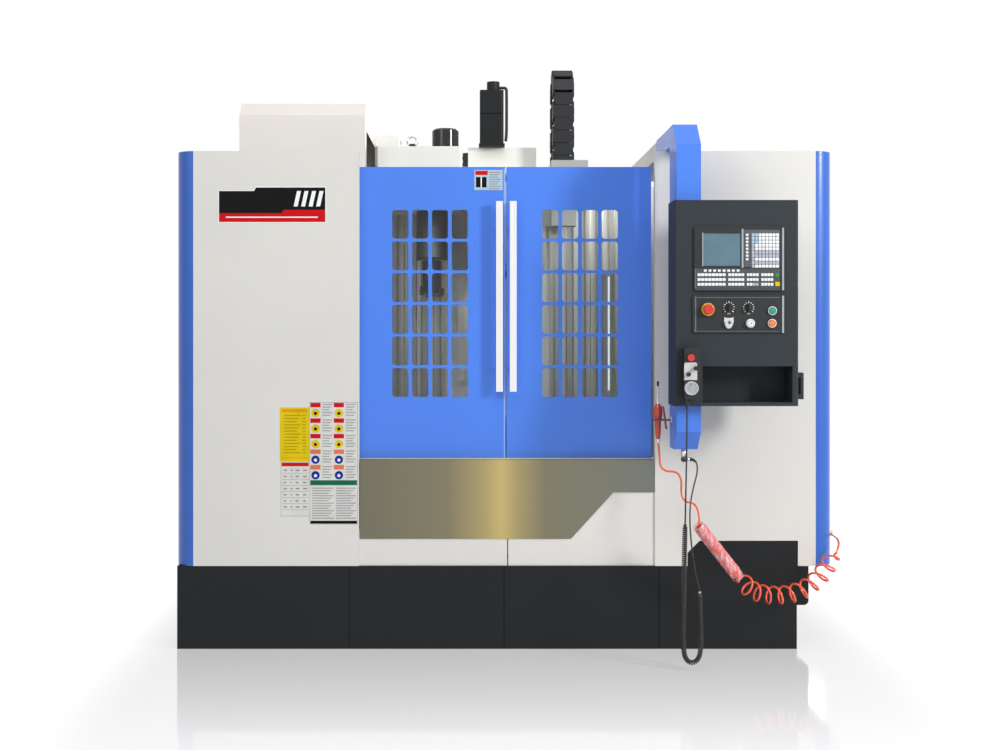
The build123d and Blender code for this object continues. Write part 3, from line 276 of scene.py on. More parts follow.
def glass(name, tint, roughness):
    """A clear pane that lets the light through to what stands behind it."""
    n = Nodes(name, Base_Color=tint, Transmission_Weight=1.0, IOR=1.3)
    n.gloss(n.noise(6), roughness, 0, 0.03)
    clear = n.add("BsdfTransparent", {"Color": tint})
    rays = n.add("LightPath").outputs
    n.surface(n.mix(rays["Is Shadow Ray"], n.shader.outputs["BSDF"], clear.outputs["BSDF"]))
    return n.material


def lit(name, colour, strength):
    """A lamp's tube, glowing a little unevenly."""
    n = Nodes(name, Base_Color=shade(colour), Emission_Strength=strength)
    n.tone(n.noise(30), colour, (0.3, 0.9), (0.7, 1), socket="Emission Color")
    return n.material


def dress(names, finish):
    """CAD nodes in their finish."""
    for name in names.split():
        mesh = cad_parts[name].data
        mesh.materials.clear()
        mesh.materials.append(finish)
    return finish


# Finishes of the CAD nodes
cream = dress(
    "left_front_panel right_front_panel left_side_panel right_side_panel lower_panels "
    "support_beam electrical_cabinet cabinet_door",
    paint("cream_paint", (224, 222, 216), 0.4, Coat_Weight=0.1),
)
# Painted light: the changer's case and the column get a brighter copy of the cream paint, and the
# magazine cover a brighter, warmer one, for the stronger light on the machine's top
dress("changer_gearbox column", paint("painted_lit_cream_paint", (253, 252, 245), 0.42, Coat_Weight=0.1))
dress("magazine_cover", paint("painted_lit_warm_cream_paint", (247, 241, 233), 0.42, Coat_Weight=0.1))
door_blue = paint("blue_paint", (74, 130, 236), 0.36, Coat_Weight=0.15)
dress("left_door right_door control_arm", door_blue)
dress("corner_columns", paint("deep_blue_paint", (38, 98, 196), 0.34, Coat_Weight=0.2))
tank_black = {"texture": 0.2, "edge": 0.0025, "Specular_IOR_Level": 0.2}
dress("coolant_tank z_motor", paint("black_paint", (27, 29, 31), 0.45, **tank_black))
gloss_black = dress(
    "changer_motor", paint("gloss_black_paint", (22, 23, 24), 0.14, texture=0.03, edge=0.002)
)
dress("control_box", powder("charcoal_paint", (44, 50, 55), 0.55))
panel_grey = moulded("panel_face", (42, 44, 46), 0.5, Specular_IOR_Level=0.3)
dress("cnc_unit operator_panel", panel_grey)
casting = paint("casting_paint", (186, 188, 184), 0.5, texture=0.5, edge=0.003)
dress("bed_casting saddle spindle_head magazine_disc", casting)
# Painted reflection on the apron: a warm band, given as colours at shares of the apron's width
apron_left, apron_right = -0.579, 0.6
apron_painted_reflection = (
    (0.0, (118, 116, 101)),
    (0.3, (134, 128, 105)),
    (0.42, (172, 158, 112)),
    (0.48, (200, 180, 118)),
    (0.54, (168, 154, 112)),
    (0.63, (130, 126, 106)),
    (1.0, (122, 126, 121)),
)
dress("apron", satin_sheet("stainless_sheet", apron_painted_reflection, 0.3, apron_left, apron_right))
upright = (900, 900, 4)
sheet = {"strength": 0.03, "anisotropy": 0.3}
dress("door_track head_cover", brushed("inner_sheet", (214, 213, 206), 0.42, upright, **sheet))
# The tray's upright bands are painted light and shade
dress("interior_tray", folded_sheet("folded_inner_sheet", (222, 221, 213), 0.42, 4.4))
dress("table", ground("machined_steel", (176, 178, 180), 0.3))
dress("spindle changer_sleeve changer_arm", ground("dark_steel", (92, 93, 95), 0.36))
satin = brushed("satin_aluminium", (240, 241, 240), 0.34, (900, 900, 1), strength=0.02)
dress("left_handle right_handle", satin)
wheel_metal = brushed("wheel_metal", (176, 180, 182), 0.3, (300, 300, 300), strength=0.05)
dress("handwheel", wheel_metal)
dress("hose_fitting", brushed("nickelled_brass", (206, 198, 176), 0.22, (60, 60, 60)))
dress("left_window right_window", glass("clear_pane", (0.93, 0.96, 0.95, 1), 0.01))
dress("display_screen", moulded("display_face", (92, 122, 136), 0.16, grain=0.01, edge=0))
rubber = moulded("black_rubber", (17, 17, 18), 0.32, grain=0.1, Specular_IOR_Level=0.6)
dress("cord_connector", rubber)
black_plastic = moulded("black_plastic", (24, 24, 26), 0.42)
dress("feed_override spindle_override pendant axis_knob step_knob", black_plastic)
links = {"grain": 0.2, "edge": 0.001, "Specular_IOR_Level": 0.3}
dress("cable_chain", moulded("link_plastic", (36, 38, 41), 0.5, **links))
red_plastic = moulded("red_plastic", (214, 44, 40), 0.25, Coat_Weight=0.4)
dress("emergency_stop pendant_stop", red_plastic)
dress("start_button", moulded("green_plastic", (34, 152, 128), 0.2, Coat_Weight=0.5))
dress("hold_button", moulded("orange_plastic", (238, 128, 56), 0.25, Coat_Weight=0.4))
dress("gun_lever", moulded("lever_plastic", (150, 40, 24), 0.3, Coat_Weight=0.4))
dress("work_lamp", moulded("lamp_housing", (150, 156, 158), 0.3))

# Finishes of the scene's own pieces
inner_dark = brushed("inner_dark_sheet", (96, 98, 98), 0.45, upright, strength=0.03)
silver = brushed("silver_trim", (222, 224, 226), 0.25, (200, 200, 200), strength=0.03)
brown_rubber = moulded("brown_rubber", (108, 44, 34), 0.45)
grey_plastic = moulded("grey_plastic", (196, 195, 188), 0.4)
yellow_plastic = moulded("yellow_plastic", (236, 186, 30), 0.4)
gun_plastic = moulded("gun_plastic", (206, 66, 34), 0.3, Coat_Weight=0.4)
hose_finish = {"grain": 0.03, "edge": 0, "Coat_Weight": 0.5}
hose_plastic = moulded("hose_plastic", (248, 92, 52), 0.22, **hose_finish)
wrap_film = film("wrap_film", (255, 228, 238), 0.26)
lamp_glow = lit("lamp_glow", (214, 228, 230), 0.8)
print_colours = {
    "paper": (222, 221, 216), "rule": (150, 150, 148), "grey": (168, 169, 168),
    "yellow": (226, 198, 16), "amber": (230, 156, 16), "olive": (176, 152, 18),
    "red": (206, 18, 28), "orange": (228, 122, 84), "navy": (22, 46, 150),
    "forest": (18, 104, 76), "green": (70, 140, 96), "ink": (8, 8, 8),
    # Some of these are painted light: a highlight along the left door's edge, and highlights and
    # shade along the edges of the control unit and the operator panel
    "white": (246, 246, 246), "pale_blue": (176, 204, 222), "painted_edge_highlight_blue": (150, 190, 250),
    "lilac": (190, 190, 206), "key_bed": (96, 98, 106), "bezel": (84, 88, 90),
    "key_grey": (128, 138, 134), "painted_highlight_and_sign": (168, 180, 178), "painted_edge_shade": (110, 114, 116),
    "dial": (212, 213, 210),
}
printed = {
    name: moulded("print_" + name, colour, 0.5, grain=0.02, edge=0, Specular_IOR_Level=0.12)
    for name, colour in print_colours.items()
}


# Mesh helpers
def new_object(name, data, body=None):
    piece = bpy.data.objects.new(name, data)
    scene.collection.objects.link(piece)
    if body:
        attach(piece, body)
    return piece


def from_bmesh(name, bm, materials, body=None, smooth=False):
    mesh = bpy.data.meshes.new(name)
    bmesh.ops.recalc_face_normals(bm, faces=bm.faces)
    bm.to_mesh(mesh)
    bm.free()
    if smooth:
        mesh.shade_smooth()
    for finish in materials:
        mesh.materials.append(finish)
    return new_object(name, mesh, body)


def turns(count):
    """Angles all the way round."""
    return [2 * pi * n / count for n in range(count)]


def add_points(bm, points):
    return [bm.verts.new(point) for point in points]


def add_band(bm, first, second, slot=0, smooth=False):
    """Faces between two closed rows of points."""
    for n in range(len(first)):
        m = (n + 1) % len(first)
        face = bm.faces.new((first[n], first[m], second[m], second[n]))
        face.material_index = slot
        face.smooth = smooth


def add_plate(bm, outline, step, slot=0):
    """A face with its sides, raised by a step over an outline and open at the back."""
    back = add_points(bm, outline)
    face = add_points(bm, [vert.co + step for vert in back])
    bm.faces.new(face).material_index = slot
    add_band(bm, back, face, slot)


def add_box(bm, low, high, bevel, slot=0):
    """A box between two points, with its edges rounded."""
    made = bmesh.ops.create_cube(bm, size=1)["verts"]
    size = high - low
    for vert in made:
        vert.co = low + (vert.co + Vector((0.5, 0.5, 0.5))) * size
    for face in {face for vert in made for face in vert.link_faces}:
        face.material_index = slot
    edges = list({edge for vert in made for edge in vert.link_edges})
    bmesh.ops.bevel(bm, geom=edges, offset=bevel, segments=2, affect="EDGES", material=slot)


def add_ring(bm, centre, radius, inner, depth, slot=0, steps=32):
    """A flat ring facing the front, with its outer side from centre backwards by depth."""
    rings = []
    for reach, back in ((radius, depth), (radius, 0), (inner, 0)):
        spots = [Vector((reach * cos(t), back, reach * sin(t))) for t in turns(steps)]
        rings.append(add_points(bm, [centre + mm * spot for spot in spots]))
    for first, second in zip(rings, rings[1:]):
        add_band(bm, first, second, slot)


def add_turned(bm, x, y, *parts, steps=32):
    """A turned form on an upright axis, from the radii and heights of parts with a slot each."""
    profile = [(*point, slot) for slot, part in enumerate(parts) for point in part]
    rings = []
    for radius, z, slot in profile:
        spots = [Vector((cos(t), sin(t), 0)) for t in turns(steps)]
        rings.append(add_points(bm, [place(x, y, z) + radius * mm * spot for spot in spots]))
    for first, second, (_, _, slot) in zip(rings, rings[1:], profile[1:]):
        add_band(bm, first, second, slot, smooth=True)
    bm.faces.new(rings[0]).material_index = profile[0][2]
    bm.faces.new(rings[-1]).material_index = profile[-1][2]


def turned_piece(name, finishes, x, y, *parts, steps=32):
    bm = bmesh.new()
    add_turned(bm, x, y, *parts, steps=steps)
    return from_bmesh(name, bm, finishes, "root")


def box_piece(name, finish, edge, *boxes):
    """Boxes as one piece, each from its low to its high corner."""
    bm = bmesh.new()
    for low, high in boxes:
        add_box(bm, place(*low), place(*high), edge)
    from_bmesh(name, bm, [finish], "root")


# Cords: splines through the routes, and windings that follow points read from them
towards_front = Vector((0, -1, 0))


def spline_object(name, points, kind="NURBS"):
    data = bpy.data.curves.new(name, "CURVE")
    data.dimensions = "3D"
    data.resolution_u = 10
    spline = data.splines.new(kind)
    spline.points.add(len(points) - 1)
    for target, point in zip(spline.points, points):
        target.co = (*point, 1)
    if kind == "NURBS":
        spline.order_u = 3
        spline.use_endpoint_u = True
    return new_object(name, data)


def read_line(route):
    """Points along the smooth spline of a route in millimetres."""
    guide = spline_object("guide", [place(*point) for point in route])
    bpy.context.view_layer.update()
    mesh = bpy.data.meshes.new_from_object(guide)
    line = [vert.co.copy() for vert in mesh.vertices]
    bpy.data.meshes.remove(mesh)
    bpy.data.objects.remove(guide)
    return line


def lengths_along(line):
    """The distance of each point along a line."""
    total = [0.0]
    for a, b in zip(line, line[1:]):
        total.append(total[-1] + (b - a).length)
    return total


def point_at(line, total, distance):
    """The point at a distance along a line, and the line's direction there."""
    for n in range(1, len(line)):
        if total[n] >= distance:
            share = (distance - total[n - 1]) / (total[n] - total[n - 1])
            return line[n - 1].lerp(line[n], share), (line[n] - line[n - 1]).normalized()
    return line[-1], (line[-1] - line[-2]).normalized()


def square_to(along, side):
    """The direction nearest to side that is square to a line, and the one square to both."""
    side = (side - side.dot(along) * along).normalized()
    return side, along.cross(side)


def winding(line, radius, pitch, steps, ease, lead=0.0, lean=0.0):
    """A helix round a line, swelling from it over the ease length at each end after a lead.

    With a lean, the near side of each turn is pushed forward along the line.
    """
    total = lengths_along(line)
    wound = total[-1] - 2 * lead
    side = towards_front
    count = int(wound / pitch * steps)
    points = []
    for n in range(count + 1):
        distance = lead + wound * n / count
        centre, along = point_at(line, total, distance)
        side, other = square_to(along, side)
        turn = 2 * pi * n / steps
        near_end = min(distance - lead, lead + wound - distance)
        reach = radius * min(1, near_end / ease)
        points.append(centre + reach * (cos(turn) * (side + lean * along) + sin(turn) * other))
    return points


def cord_mesh(name, line, radius, finish, body=None, sides=10):
    """A round mesh tube along a line, with one radius or one for each point."""
    radii = radius if isinstance(radius, list) else [radius] * len(line)
    bm = bmesh.new()
    side = towards_front
    rings = []
    for n, point in enumerate(line):
        before = line[max(n - 1, 0)]
        after = line[min(n + 1, len(line) - 1)]
        side, other = square_to((after - before).normalized(), side)
        spots = [radii[n] * (cos(t) * side + sin(t) * other) for t in turns(sides)]
        rings.append(add_points(bm, [point + spot for spot in spots]))
    for first, second in zip(rings, rings[1:]):
        add_band(bm, first, second)
    bm.faces.new(rings[0])
    bm.faces.new(rings[-1])
    return from_bmesh(name, bm, [finish], body, smooth=True)


def round_cord(name, points, radius, finish, body):
    """One open curve with a round section."""
    piece = spline_object(name, points, "POLY")
    piece.data.bevel_depth = radius
    piece.data.bevel_resolution = 2
    piece.data.use_fill_caps = True
    piece.data.materials.append(finish)
    piece.data.splines[0].use_smooth = True
    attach(piece, body)
    return piece


pendant_lead_route = (
    (668, -357, 1005.5), (667.6, -356.6, 950), (667, -355.2, 870), (666.2, -352.4, 785),
    (665.2, -348.6, 700), (664.2, -344, 620), (663.6, -340, 554),
)
curly_cord_route = (
    (663.5, -339.6, 552), (661, -339, 470), (660, -338, 345), (659, -336, 215),
    (657, -334, 135), (659, -332, 90), (662, -330, 60), (674, -328, 38),
    (692, -326, 30), (711, -324, 38), (722, -322, 60), (725, -320, 90),
    (726, -319, 135), (724, -318, 210), (722, -317, 296),
)
connector_lead_route = (
    (712, -190, 778.5), (728, -192, 774), (735, -197, 758), (733, -206, 726),
    (718, -222, 684), (702, -242, 630), (693, -268, 565), (694, -288, 490),
    (700, -302, 415), (708, -311, 355), (719, -316, 315), (722, -317, 297),
)
hose_route = (
    (591, -150, 852.4), (596, -153, 800), (600, -157, 728), (682, -170, 729),
    (672, -188, 614), (741, -205, 611), (737.7, -225.6, 541.9),
)
wrapped_coil_ends = ((731.4, -228.2, 531.5), (902, -160, 318))
recoil_coil_route = (
    (902.2, -159.9, 317.7), (942.2, -143.9, 267.7), (1010, -130, 244), (1082, -122, 240),
    (1150, -114, 254), (1214, -104, 288), (1264, -84, 338), (1308, -62, 394),
)
hose_tail_route = (
    (1309.5, -61, 396), (1322, -50, 418), (1331, -20, 436), (1332, 20, 445),
    (1332, 84, 446),
)
lead_radius = 3 * mm
wire_radius = 3 * mm
hose_radius = 4.25 * mm
least_step = 2 * mm
# Windings: the radius and pitch of the turns, the points in each and the swelling at the ends
curls = {"radius": 7.2 * mm, "pitch": 7.4 * mm, "steps": 12, "ease": 12 * mm}
wrapped_turns = {"radius": 20 * mm, "pitch": 9.2 * mm, "steps": 20, "ease": 14 * mm, "lead": 2 * mm}
recoil_turns = {"radius": 33 * mm, "pitch": 47 * mm, "steps": 28, "ease": 30 * mm, "lean": 0.22}
# Tapered sleeves in millimetres: the length, and the radius at the near and at the far end
sleeves = {
    "pendant_relief": (26, 7.4, 3.7),
    "curl_sleeve_low": (18, 6, 4.6),
    "curl_sleeve_high": (18, 5.4, 4.6),
    "connector_relief": (24, 6.6, 3.6),
    "gun_ferrule": (15, 7, 5),
}
sleeve_steps = 8
# The film round the closed coil in millimetres. It is creased from a share of its length on.
wrap_radius, wrap_drawn_in = 25, 2.5
wrap_steps, wrap_rows, wrap_sides = 20, 70, 40
light_crease, added_crease = 0.5, 3.4
crease_from, crease_rise = 0.6, 0.2
folds_around, folds_along = 2.6, 15


def joined(*lines):
    """Several lines as one, without points that nearly coincide."""
    points = []
    for line in lines:
        apart = not points or (line[0] - points[-1]).length > least_step
        points += line if apart else line[1:]
    return points


def sleeve(name, line, finish, body="root"):
    """A tapered sleeve round the first stretch of a line."""
    length, near_radius, far_radius = sleeves[name]
    total = lengths_along(line)
    shares = [n / sleeve_steps for n in range(sleeve_steps + 1)]
    points = [point_at(line, total, length * mm * share)[0] for share in shares]
    radii = [(near_radius + (far_radius - near_radius) * share) * mm for share in shares]
    return cord_mesh(name, points, radii, finish, body, sides=20)


# The pendant's cord: its lead, the curls and the lead to the arm
def pendant_cord():
    line = read_line(pendant_lead_route)
    lead = cord_mesh("pendant_cord", line, lead_radius, rubber)
    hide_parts("pendant_lead")
    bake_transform(lead)
    relief = sleeve("pendant_relief", line, rubber, "control_box")
    curl_line = read_line(curly_cord_route)
    connector_line = read_line(connector_lead_route)
    points = joined(winding(curl_line, **curls), connector_line[::-1])
    cord = round_cord("curly_cord_coils", points, wire_radius, rubber, "root")
    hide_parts("curly_cord", "connector_lead")
    pieces = [
        "cord_connector",
        sleeve("curl_sleeve_low", curl_line, rubber),
        sleeve("curl_sleeve_high", curl_line[::-1], grey_plastic),
        sleeve("connector_relief", connector_line, rubber),
    ]


def coil_wrap(line):
    """Clear film round the closed coil: smooth above, creased and thicker below."""
    total = lengths_along(line)
    bm = bmesh.new()
    rings = []
    for n in range(wrap_rows + 1):
        share = n / wrap_rows
        centre, along = point_at(line, total, total[-1] * share)
        side, other = square_to(along, towards_front)
        crease = light_crease + added_crease * min(1, max(0, (share - crease_from) / crease_rise))
        drawn_in = wrap_drawn_in * (1 - min(1, n / 2, (wrap_rows - n) / 2))
        ring = []
        for t in turns(wrap_sides):
            out = cos(t) * side + sin(t) * other
            fold = noise.noise(out * folds_around + Vector((share * folds_along, 0, 0)))
            ring.append(centre + (wrap_radius + crease * fold - drawn_in) * mm * out)
        rings.append(add_points(bm, ring))
    for first, second in zip(rings, rings[1:]):
        add_band(bm, first, second)
    return from_bmesh("coil_wrap", bm, [wrap_film], "root", smooth=True)


# The air hose: from the gun through the wrapped coil and the open coil to its fitting
def air_hose():
    first = read_line(hose_route)
    top, bottom = [place(*point) for point in wrapped_coil_ends]
    wrapped_line = [top.lerp(bottom, n / wrap_steps) for n in range(wrap_steps + 1)]
    wrapped = winding(wrapped_line, **wrapped_turns)
    recoil = winding(read_line(recoil_coil_route), **recoil_turns)
    points = joined(first, wrapped, recoil, read_line(hose_tail_route))
    hose = round_cord("orange_hose", points, hose_radius, hose_plastic, "root")
    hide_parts("air_hose", "wrapped_coil", "recoil_coil")
    pieces = ["hose_fitting", coil_wrap(wrapped_line), sleeve("gun_ferrule", first, silver)]


pendant_cord()
air_hose()


# Places read from the photograph, in its pixels
def seen_at(column, row, depth):
    """The place where a pixel of the photograph meets the plane at a depth behind the panels."""
    per_pixel = (depth - camera_y) / focal_pixels
    x = camera_x + (column - view_column) * per_pixel
    return place(x, depth, camera_z - (row - view_row) * per_pixel)


def column_row(x, z, depth):
    """The pixel of the photograph at which a place in millimetres is seen."""
    per_pixel = (depth - camera_y) / focal_pixels
    return view_column + (x - camera_x) / per_pixel, view_row - (z - camera_z) / per_pixel


class Print:
    """Plain fields of colour on a face that looks to the front, outlined in pixels."""

    layer_step = 0.15 * mm

    def __init__(self, name, depth, body):
        self.name, self.depth, self.body = name, depth, body
        self.bm, self.used = bmesh.new(), []

    def shape(self, colour, outline, layer=1):
        if colour not in self.used:
            self.used.append(colour)
        spots = [seen_at(column, row, self.depth) for column, row in outline]
        step = Vector((0, -layer * self.layer_step, 0))
        add_plate(self.bm, spots, step, self.used.index(colour))

    def field(self, colour, left, top, right, bottom, layer=1):
        self.shape(colour, [(left, top), (right, top), (right, bottom), (left, bottom)], layer)

    def fields(self, table):
        for colour, box, layer in table:
            self.field(colour, *box, layer)

    def dot(self, colour, column, row, radius, layer=1):
        outline = [(column + radius * cos(t), row + radius * sin(t)) for t in turns(24)]
        self.shape(colour, outline, layer)

    def rows(self, colour, left, right, top, pitch, height, count, layer, uneven=0.0):
        """Bars below each other, where an uneven amount shortens two of every three."""
        for n in range(count):
            row = top + n * pitch
            self.field(colour, left, row, right - n % 3 * uneven, row + height, layer)

    def finish(self):
        colours = [printed[colour] for colour in self.used]
        return from_bmesh(self.name, self.bm, colours, self.body)


# Prints: the fields are boxes of left, top, right and bottom in pixels of the photograph
def stepped(left, low_top, step_left, step_right, high_top, right, bottom):
    """The outline of a plate whose top rises by a slanted step."""
    top = [(left, low_top), (step_left, low_top), (step_right, high_top), (right, high_top)]
    return top + [(right, bottom), (left, bottom)]


badge_edge = stepped(218, 190, 253.5, 255.4, 186.6, 326.2, 222.8)
badge_face = stepped(219, 191, 254, 256, 187.5, 325.3, 222)
badge_foot = stepped(219, 213.2, 281.5, 284, 209.8, 325.3, 222)
badge_line = (226, 216.6, 318, 217.8)
badge_bar = ((297, 191), (301, 191), (297.6, 206.5), (293.6, 206.5))
badge_bars, badge_bar_pitch = 4, 7.5

yellow_plate = (
    ("yellow", (279.8, 407.6, 309.3, 461.4), 1),
    ("amber", (282, 409.2, 307.2, 412.2), 2),
)
plate_columns = ((284, 300.5, 2), (302.4, 305.8, 0))
plate_rows = {"top": 415, "pitch": 3.1, "height": 1, "count": 13, "layer": 2}
plate_foot = (281.5, 457.4, 307.5, 458.3)
ruled_table = (
    ("rule", (280.8, 461.8, 310, 516.2), 1),
    ("paper", (281.2, 462.2, 309.6, 515.8), 2),
    ("red", (281.6, 462.6, 308.8, 466.3), 3),
)
table_left, table_right = 282, 309
table_rules = {"top": 473, "pitch": 6.1, "height": 0.35, "count": 7, "layer": 3}
table_columns = ((283.6, 287), (290.6, 292.6), (295.6, 299.6), (303, 307))
table_rows = {"top": 469.6, "pitch": 6.1, "height": 1.5, "count": 7, "layer": 3, "uneven": 0.5}
colour_sheet = (
    ("rule", (309.5, 402.1, 357.8, 524.3), 1),
    ("paper", (309.9, 402.5, 357.4, 523.9), 2),
)
card_lefts, card_top, card_pitch = (310.4, 333.8), 402.8, 15.55
card_colours = 3 * [("red", "yellow", "ink")] + 2 * [("orange", "navy", "white")]
card_width, card_head, card_middle = 10.2, 4.5, 5.1
disc_drop, disc_radius, spot_drop, spot_radius = 10.2, 4.2, 10.6, 1.6
text_left, text_right, text_drop = 12, 21.8, 1
card_text = {"pitch": 2.7, "height": 1.2, "count": 5, "layer": 3, "uneven": 1.5}
sheet_band = (310.4, 480.2, 357, 485.2)
sheet_columns = ((312, 333.6), (336, 355.8))
sheet_rows = {"top": 487.6, "pitch": 2.5, "height": 1.2, "count": 13, "layer": 3, "uneven": 2.4}
sheet_foot = (310.4, 520.7, 357, 523.7)

door_print = (
    ("grey", (474.2, 169.8, 502.8, 190.2), 1),
    ("pale_blue", (474.6, 170.2, 502.4, 189.8), 2),
    ("red", (475.2, 170.9, 487.8, 175), 3),
    ("ink", (476, 177, 486.6, 187.4), 3),
    ("white", (480.6, 177, 481.8, 187.4), 4),
)
door_rows = {"top": 172, "pitch": 2.3, "height": 1, "count": 8, "layer": 3, "uneven": 1.5}
door_rows_left, door_rows_right = 489, 501
# Painted highlight along the left door's edge, in pixels
door_edge_highlight = (503.8, 168.2, 505.1, 458)
door_face = 44


def badge():
    """A stepped plate in black over red, with plain slanted bars."""
    p = Print("badge", 0, "root")
    p.shape("white", badge_edge)
    p.shape("ink", badge_face, 2)
    p.shape("red", badge_foot, 3)
    for n in range(badge_bars):
        p.shape("white", [(column + n * badge_bar_pitch, row) for column, row in badge_bar], 3)
    p.field("white", *badge_line, 4)
    p.finish()


def panel_sheets():
    """A yellow plate, a ruled table and a sheet of coloured cards, with no words on them."""
    p = Print("panel_sheets", 0, "root")
    p.fields(yellow_plate)
    for left, right, uneven in plate_columns:
        p.rows("olive", left, right, uneven=uneven, **plate_rows)
    p.field("amber", *plate_foot, 2)
    p.fields(ruled_table)
    p.rows("rule", table_left, table_right, **table_rules)
    for left, right in table_columns:
        p.rows("rule", left, right, **table_rows)
    p.fields(colour_sheet)
    for n, (head, disc, spot) in enumerate(card_colours):
        top = card_top + card_pitch * n
        for left in card_lefts:
            p.field(head, left, top, left + card_width, top + card_head, 3)
            p.dot(disc, left + card_middle, top + disc_drop, disc_radius, 3)
            p.dot(spot, left + card_middle, top + spot_drop, spot_radius, 4)
            p.rows("grey", left + text_left, left + text_right, top + text_drop, **card_text)
    p.field("forest", *sheet_band, 3)
    for left, right in sheet_columns:
        p.rows("grey", left, right, **sheet_rows)
    p.field("ink", *sheet_foot, 3)
    p.finish()


def door_sheet():
    """A small sheet with bars on the left door, and a painted highlight along the door's edge
    beside it.
    """
    p = Print("door_sheet", door_face, "left_door")
    p.fields(door_print)
    p.rows("rule", door_rows_left, door_rows_right, **door_rows)
    p.field("painted_edge_highlight_blue", *door_edge_highlight)
    p.finish()


badge()
panel_sheets()
door_sheet()


# Control unit: its fields in pixels, its keys in millimetres
unit_face = -327
# The bars are painted highlights along the lit edges of the unit's face and painted shade along its
# shaded edges
unit_print = (
    ("bezel", (695.4, 268.6, 779.8, 288), 1),
    ("key_bed", (744.2, 229.8, 779.8, 266.9), 1),
    ("painted_highlight_and_sign", (741.7, 229, 743.5, 267.6), 3),
    ("painted_highlight_and_sign", (782.2, 227.6, 784, 290.2), 3),
    ("painted_highlight_and_sign", (702.3, 232.6, 703.3, 266.2), 3),
    ("painted_edge_shade", (694.9, 268.6, 695.9, 288.4), 3),
    ("painted_edge_shade", (695.4, 288.8, 779.8, 289.4), 2),
)
key_relief = 2.5
cap_relief = 0.6
cap_edge = 0.8 * mm
block_x, block_top, block_pitch = 919.5, 1631.5, 13
block_rows, block_columns, block_cap = 10, 8, (11, 11.4)
blue_rows, blue_columns, lilac_rows = 3, 2, (5, 6, 8)
side_keys_x, side_cap = 897, (10, 9.6)
soft_keys_x, soft_keys_z, soft_pitch, soft_cap = 740.75, 1498, 17.5, (10.5, 9.6)
small_rows = (1482.7, 1464.6, 1446.8)
small_groups = ((711, 817.6, 8), (825.6, 887, 5), (895.4, 940.6, 4), (949, 995.6, 4))
small_gap, small_height = 1.6, 10.6
lilac_group, first_lilac = 2, 2
green_key, green_cap_size = (1009.6, 1481.8), (15, 13.4)
yellow_key, yellow_cap_size = (1010.6, 1448.2), (17, 16)


def add_cap(bm, slot, x, z, size):
    """A cap over a key of the unit, as wide and high as its size says."""
    half = Vector((size[0] / 2 * mm, 0, size[1] / 2 * mm))
    middle = place(x, unit_face - key_relief - cap_relief, z)
    depth = Vector((0, (key_relief + cap_relief) * mm, 0))
    add_box(bm, middle - half, middle + half + depth, cap_edge, slot)


def key_caps():
    """Caps over the keys of the unit, and the rows of small keys below the screen."""
    bm = bmesh.new()
    white_cap, blue_cap, lilac_cap, green_cap, yellow_cap = range(5)
    for row in range(block_rows):
        for n in range(block_columns):
            cap = lilac_cap if row in lilac_rows or n == 0 else white_cap
            if n < blue_columns and row < blue_rows:
                cap = blue_cap
            x, z = block_x + block_pitch * n, block_top - block_pitch * row
            add_cap(bm, cap, x, z, block_cap)
    for n in range(block_columns):
        add_cap(bm, white_cap, side_keys_x, block_top - block_pitch * n, side_cap)
        add_cap(bm, white_cap, soft_keys_x + soft_pitch * n, soft_keys_z, soft_cap)
    for z in small_rows:
        for group, (left, right, count) in enumerate(small_groups):
            pitch = (right - left) / count
            for n in range(count):
                lilac = z == small_rows[-1] and group == lilac_group and n >= first_lilac
                cap = lilac_cap if lilac else white_cap
                x = left + pitch * (n + 0.5)
                add_cap(bm, cap, x, z, (pitch - small_gap, small_height))
    add_cap(bm, green_cap, *green_key, green_cap_size)
    add_cap(bm, yellow_cap, *yellow_key, yellow_cap_size)
    colours = [printed[name] for name in ("white", "pale_blue", "lilac", "green", "yellow")]
    from_bmesh("key_caps", bm, colours, "control_box")


unit_fields = Print("unit_fields", unit_face, "control_box")
unit_fields.fields(unit_print)
unit_fields.finish()
key_caps()


# Operator panel: its bars of painted highlight and shade in pixels, the rest in millimetres
panel_face = -325
# The bars are painted highlights along the panel's lit edge and painted shade along its other edges
panel_print = (
    ("painted_highlight_and_sign", (782.2, 295.6, 784, 333), 3),
    ("painted_edge_shade", (694.9, 296.4, 696.2, 332), 3),
    ("painted_edge_shade", (696.4, 297.2, 779.8, 297.8), 2),
    ("painted_edge_shade", (696.4, 331, 779.8, 331.5), 2),
)
stop_x, stop_z = 751, 1353
overrides = ((830, 1360), (904, 1360))
lit_buttons = ((992, 1348), (991, 1301))
shielded_switch, ringed_switch = (829, 1304), (910, 1301)
# The scale round an override knob, in pixels
mark_turn, mark_half_width = radians(27), 0.34
mark_start, mark_end, long_mark_end = 4.5, 5.7, 6.3
sign_left, sign_right, sign_top, sign_bottom = -1.6, 1.4, 5.6, 6.6
# Rings: the outer and inner radius, how far the front stands off the panel, and the depth
stop_collar = (24.4, 12, 5.2, 0.2)
button_ring = (16.6, 13.6, 4.3, 0.3)
switch_barrel = (14.4, 7.4, 14.3, 14.3)
switch_face = (7.5, 2.4, 14.2, 0.2)
white_ring = (16.4, 14.2, 6, 6)
# The shield round the left switch, from the switch's middle
shield_upper = ((-17, 20), (-8, 17), (8, 17), (17, 20), (18, 4))
shield_lower = ((12, -15), (5, -22), (-5, -22), (-12, -15), (-18, 4))
shield_relief = 4


def panel_fields():
    p = Print("panel_fields", panel_face, "control_box")
    p.fields(panel_print)
    for x, z in overrides:
        column, row = column_row(x, z, panel_face)
        for n in range(-5, 6):
            out = Vector((sin(mark_turn * n), -cos(mark_turn * n)))
            side = Vector((-out.y, out.x)) * mark_half_width
            near = out * mark_start
            far = out * (long_mark_end if n % 5 == 0 else mark_end)
            corners = (near - side, far - side, far + side, near + side)
            p.shape("white", [(column + c.x, row + c.y) for c in corners])
        left, right = column + sign_left, column + sign_right
        p.field("painted_highlight_and_sign", left, row + sign_top, right, row + sign_bottom)
    p.finish()


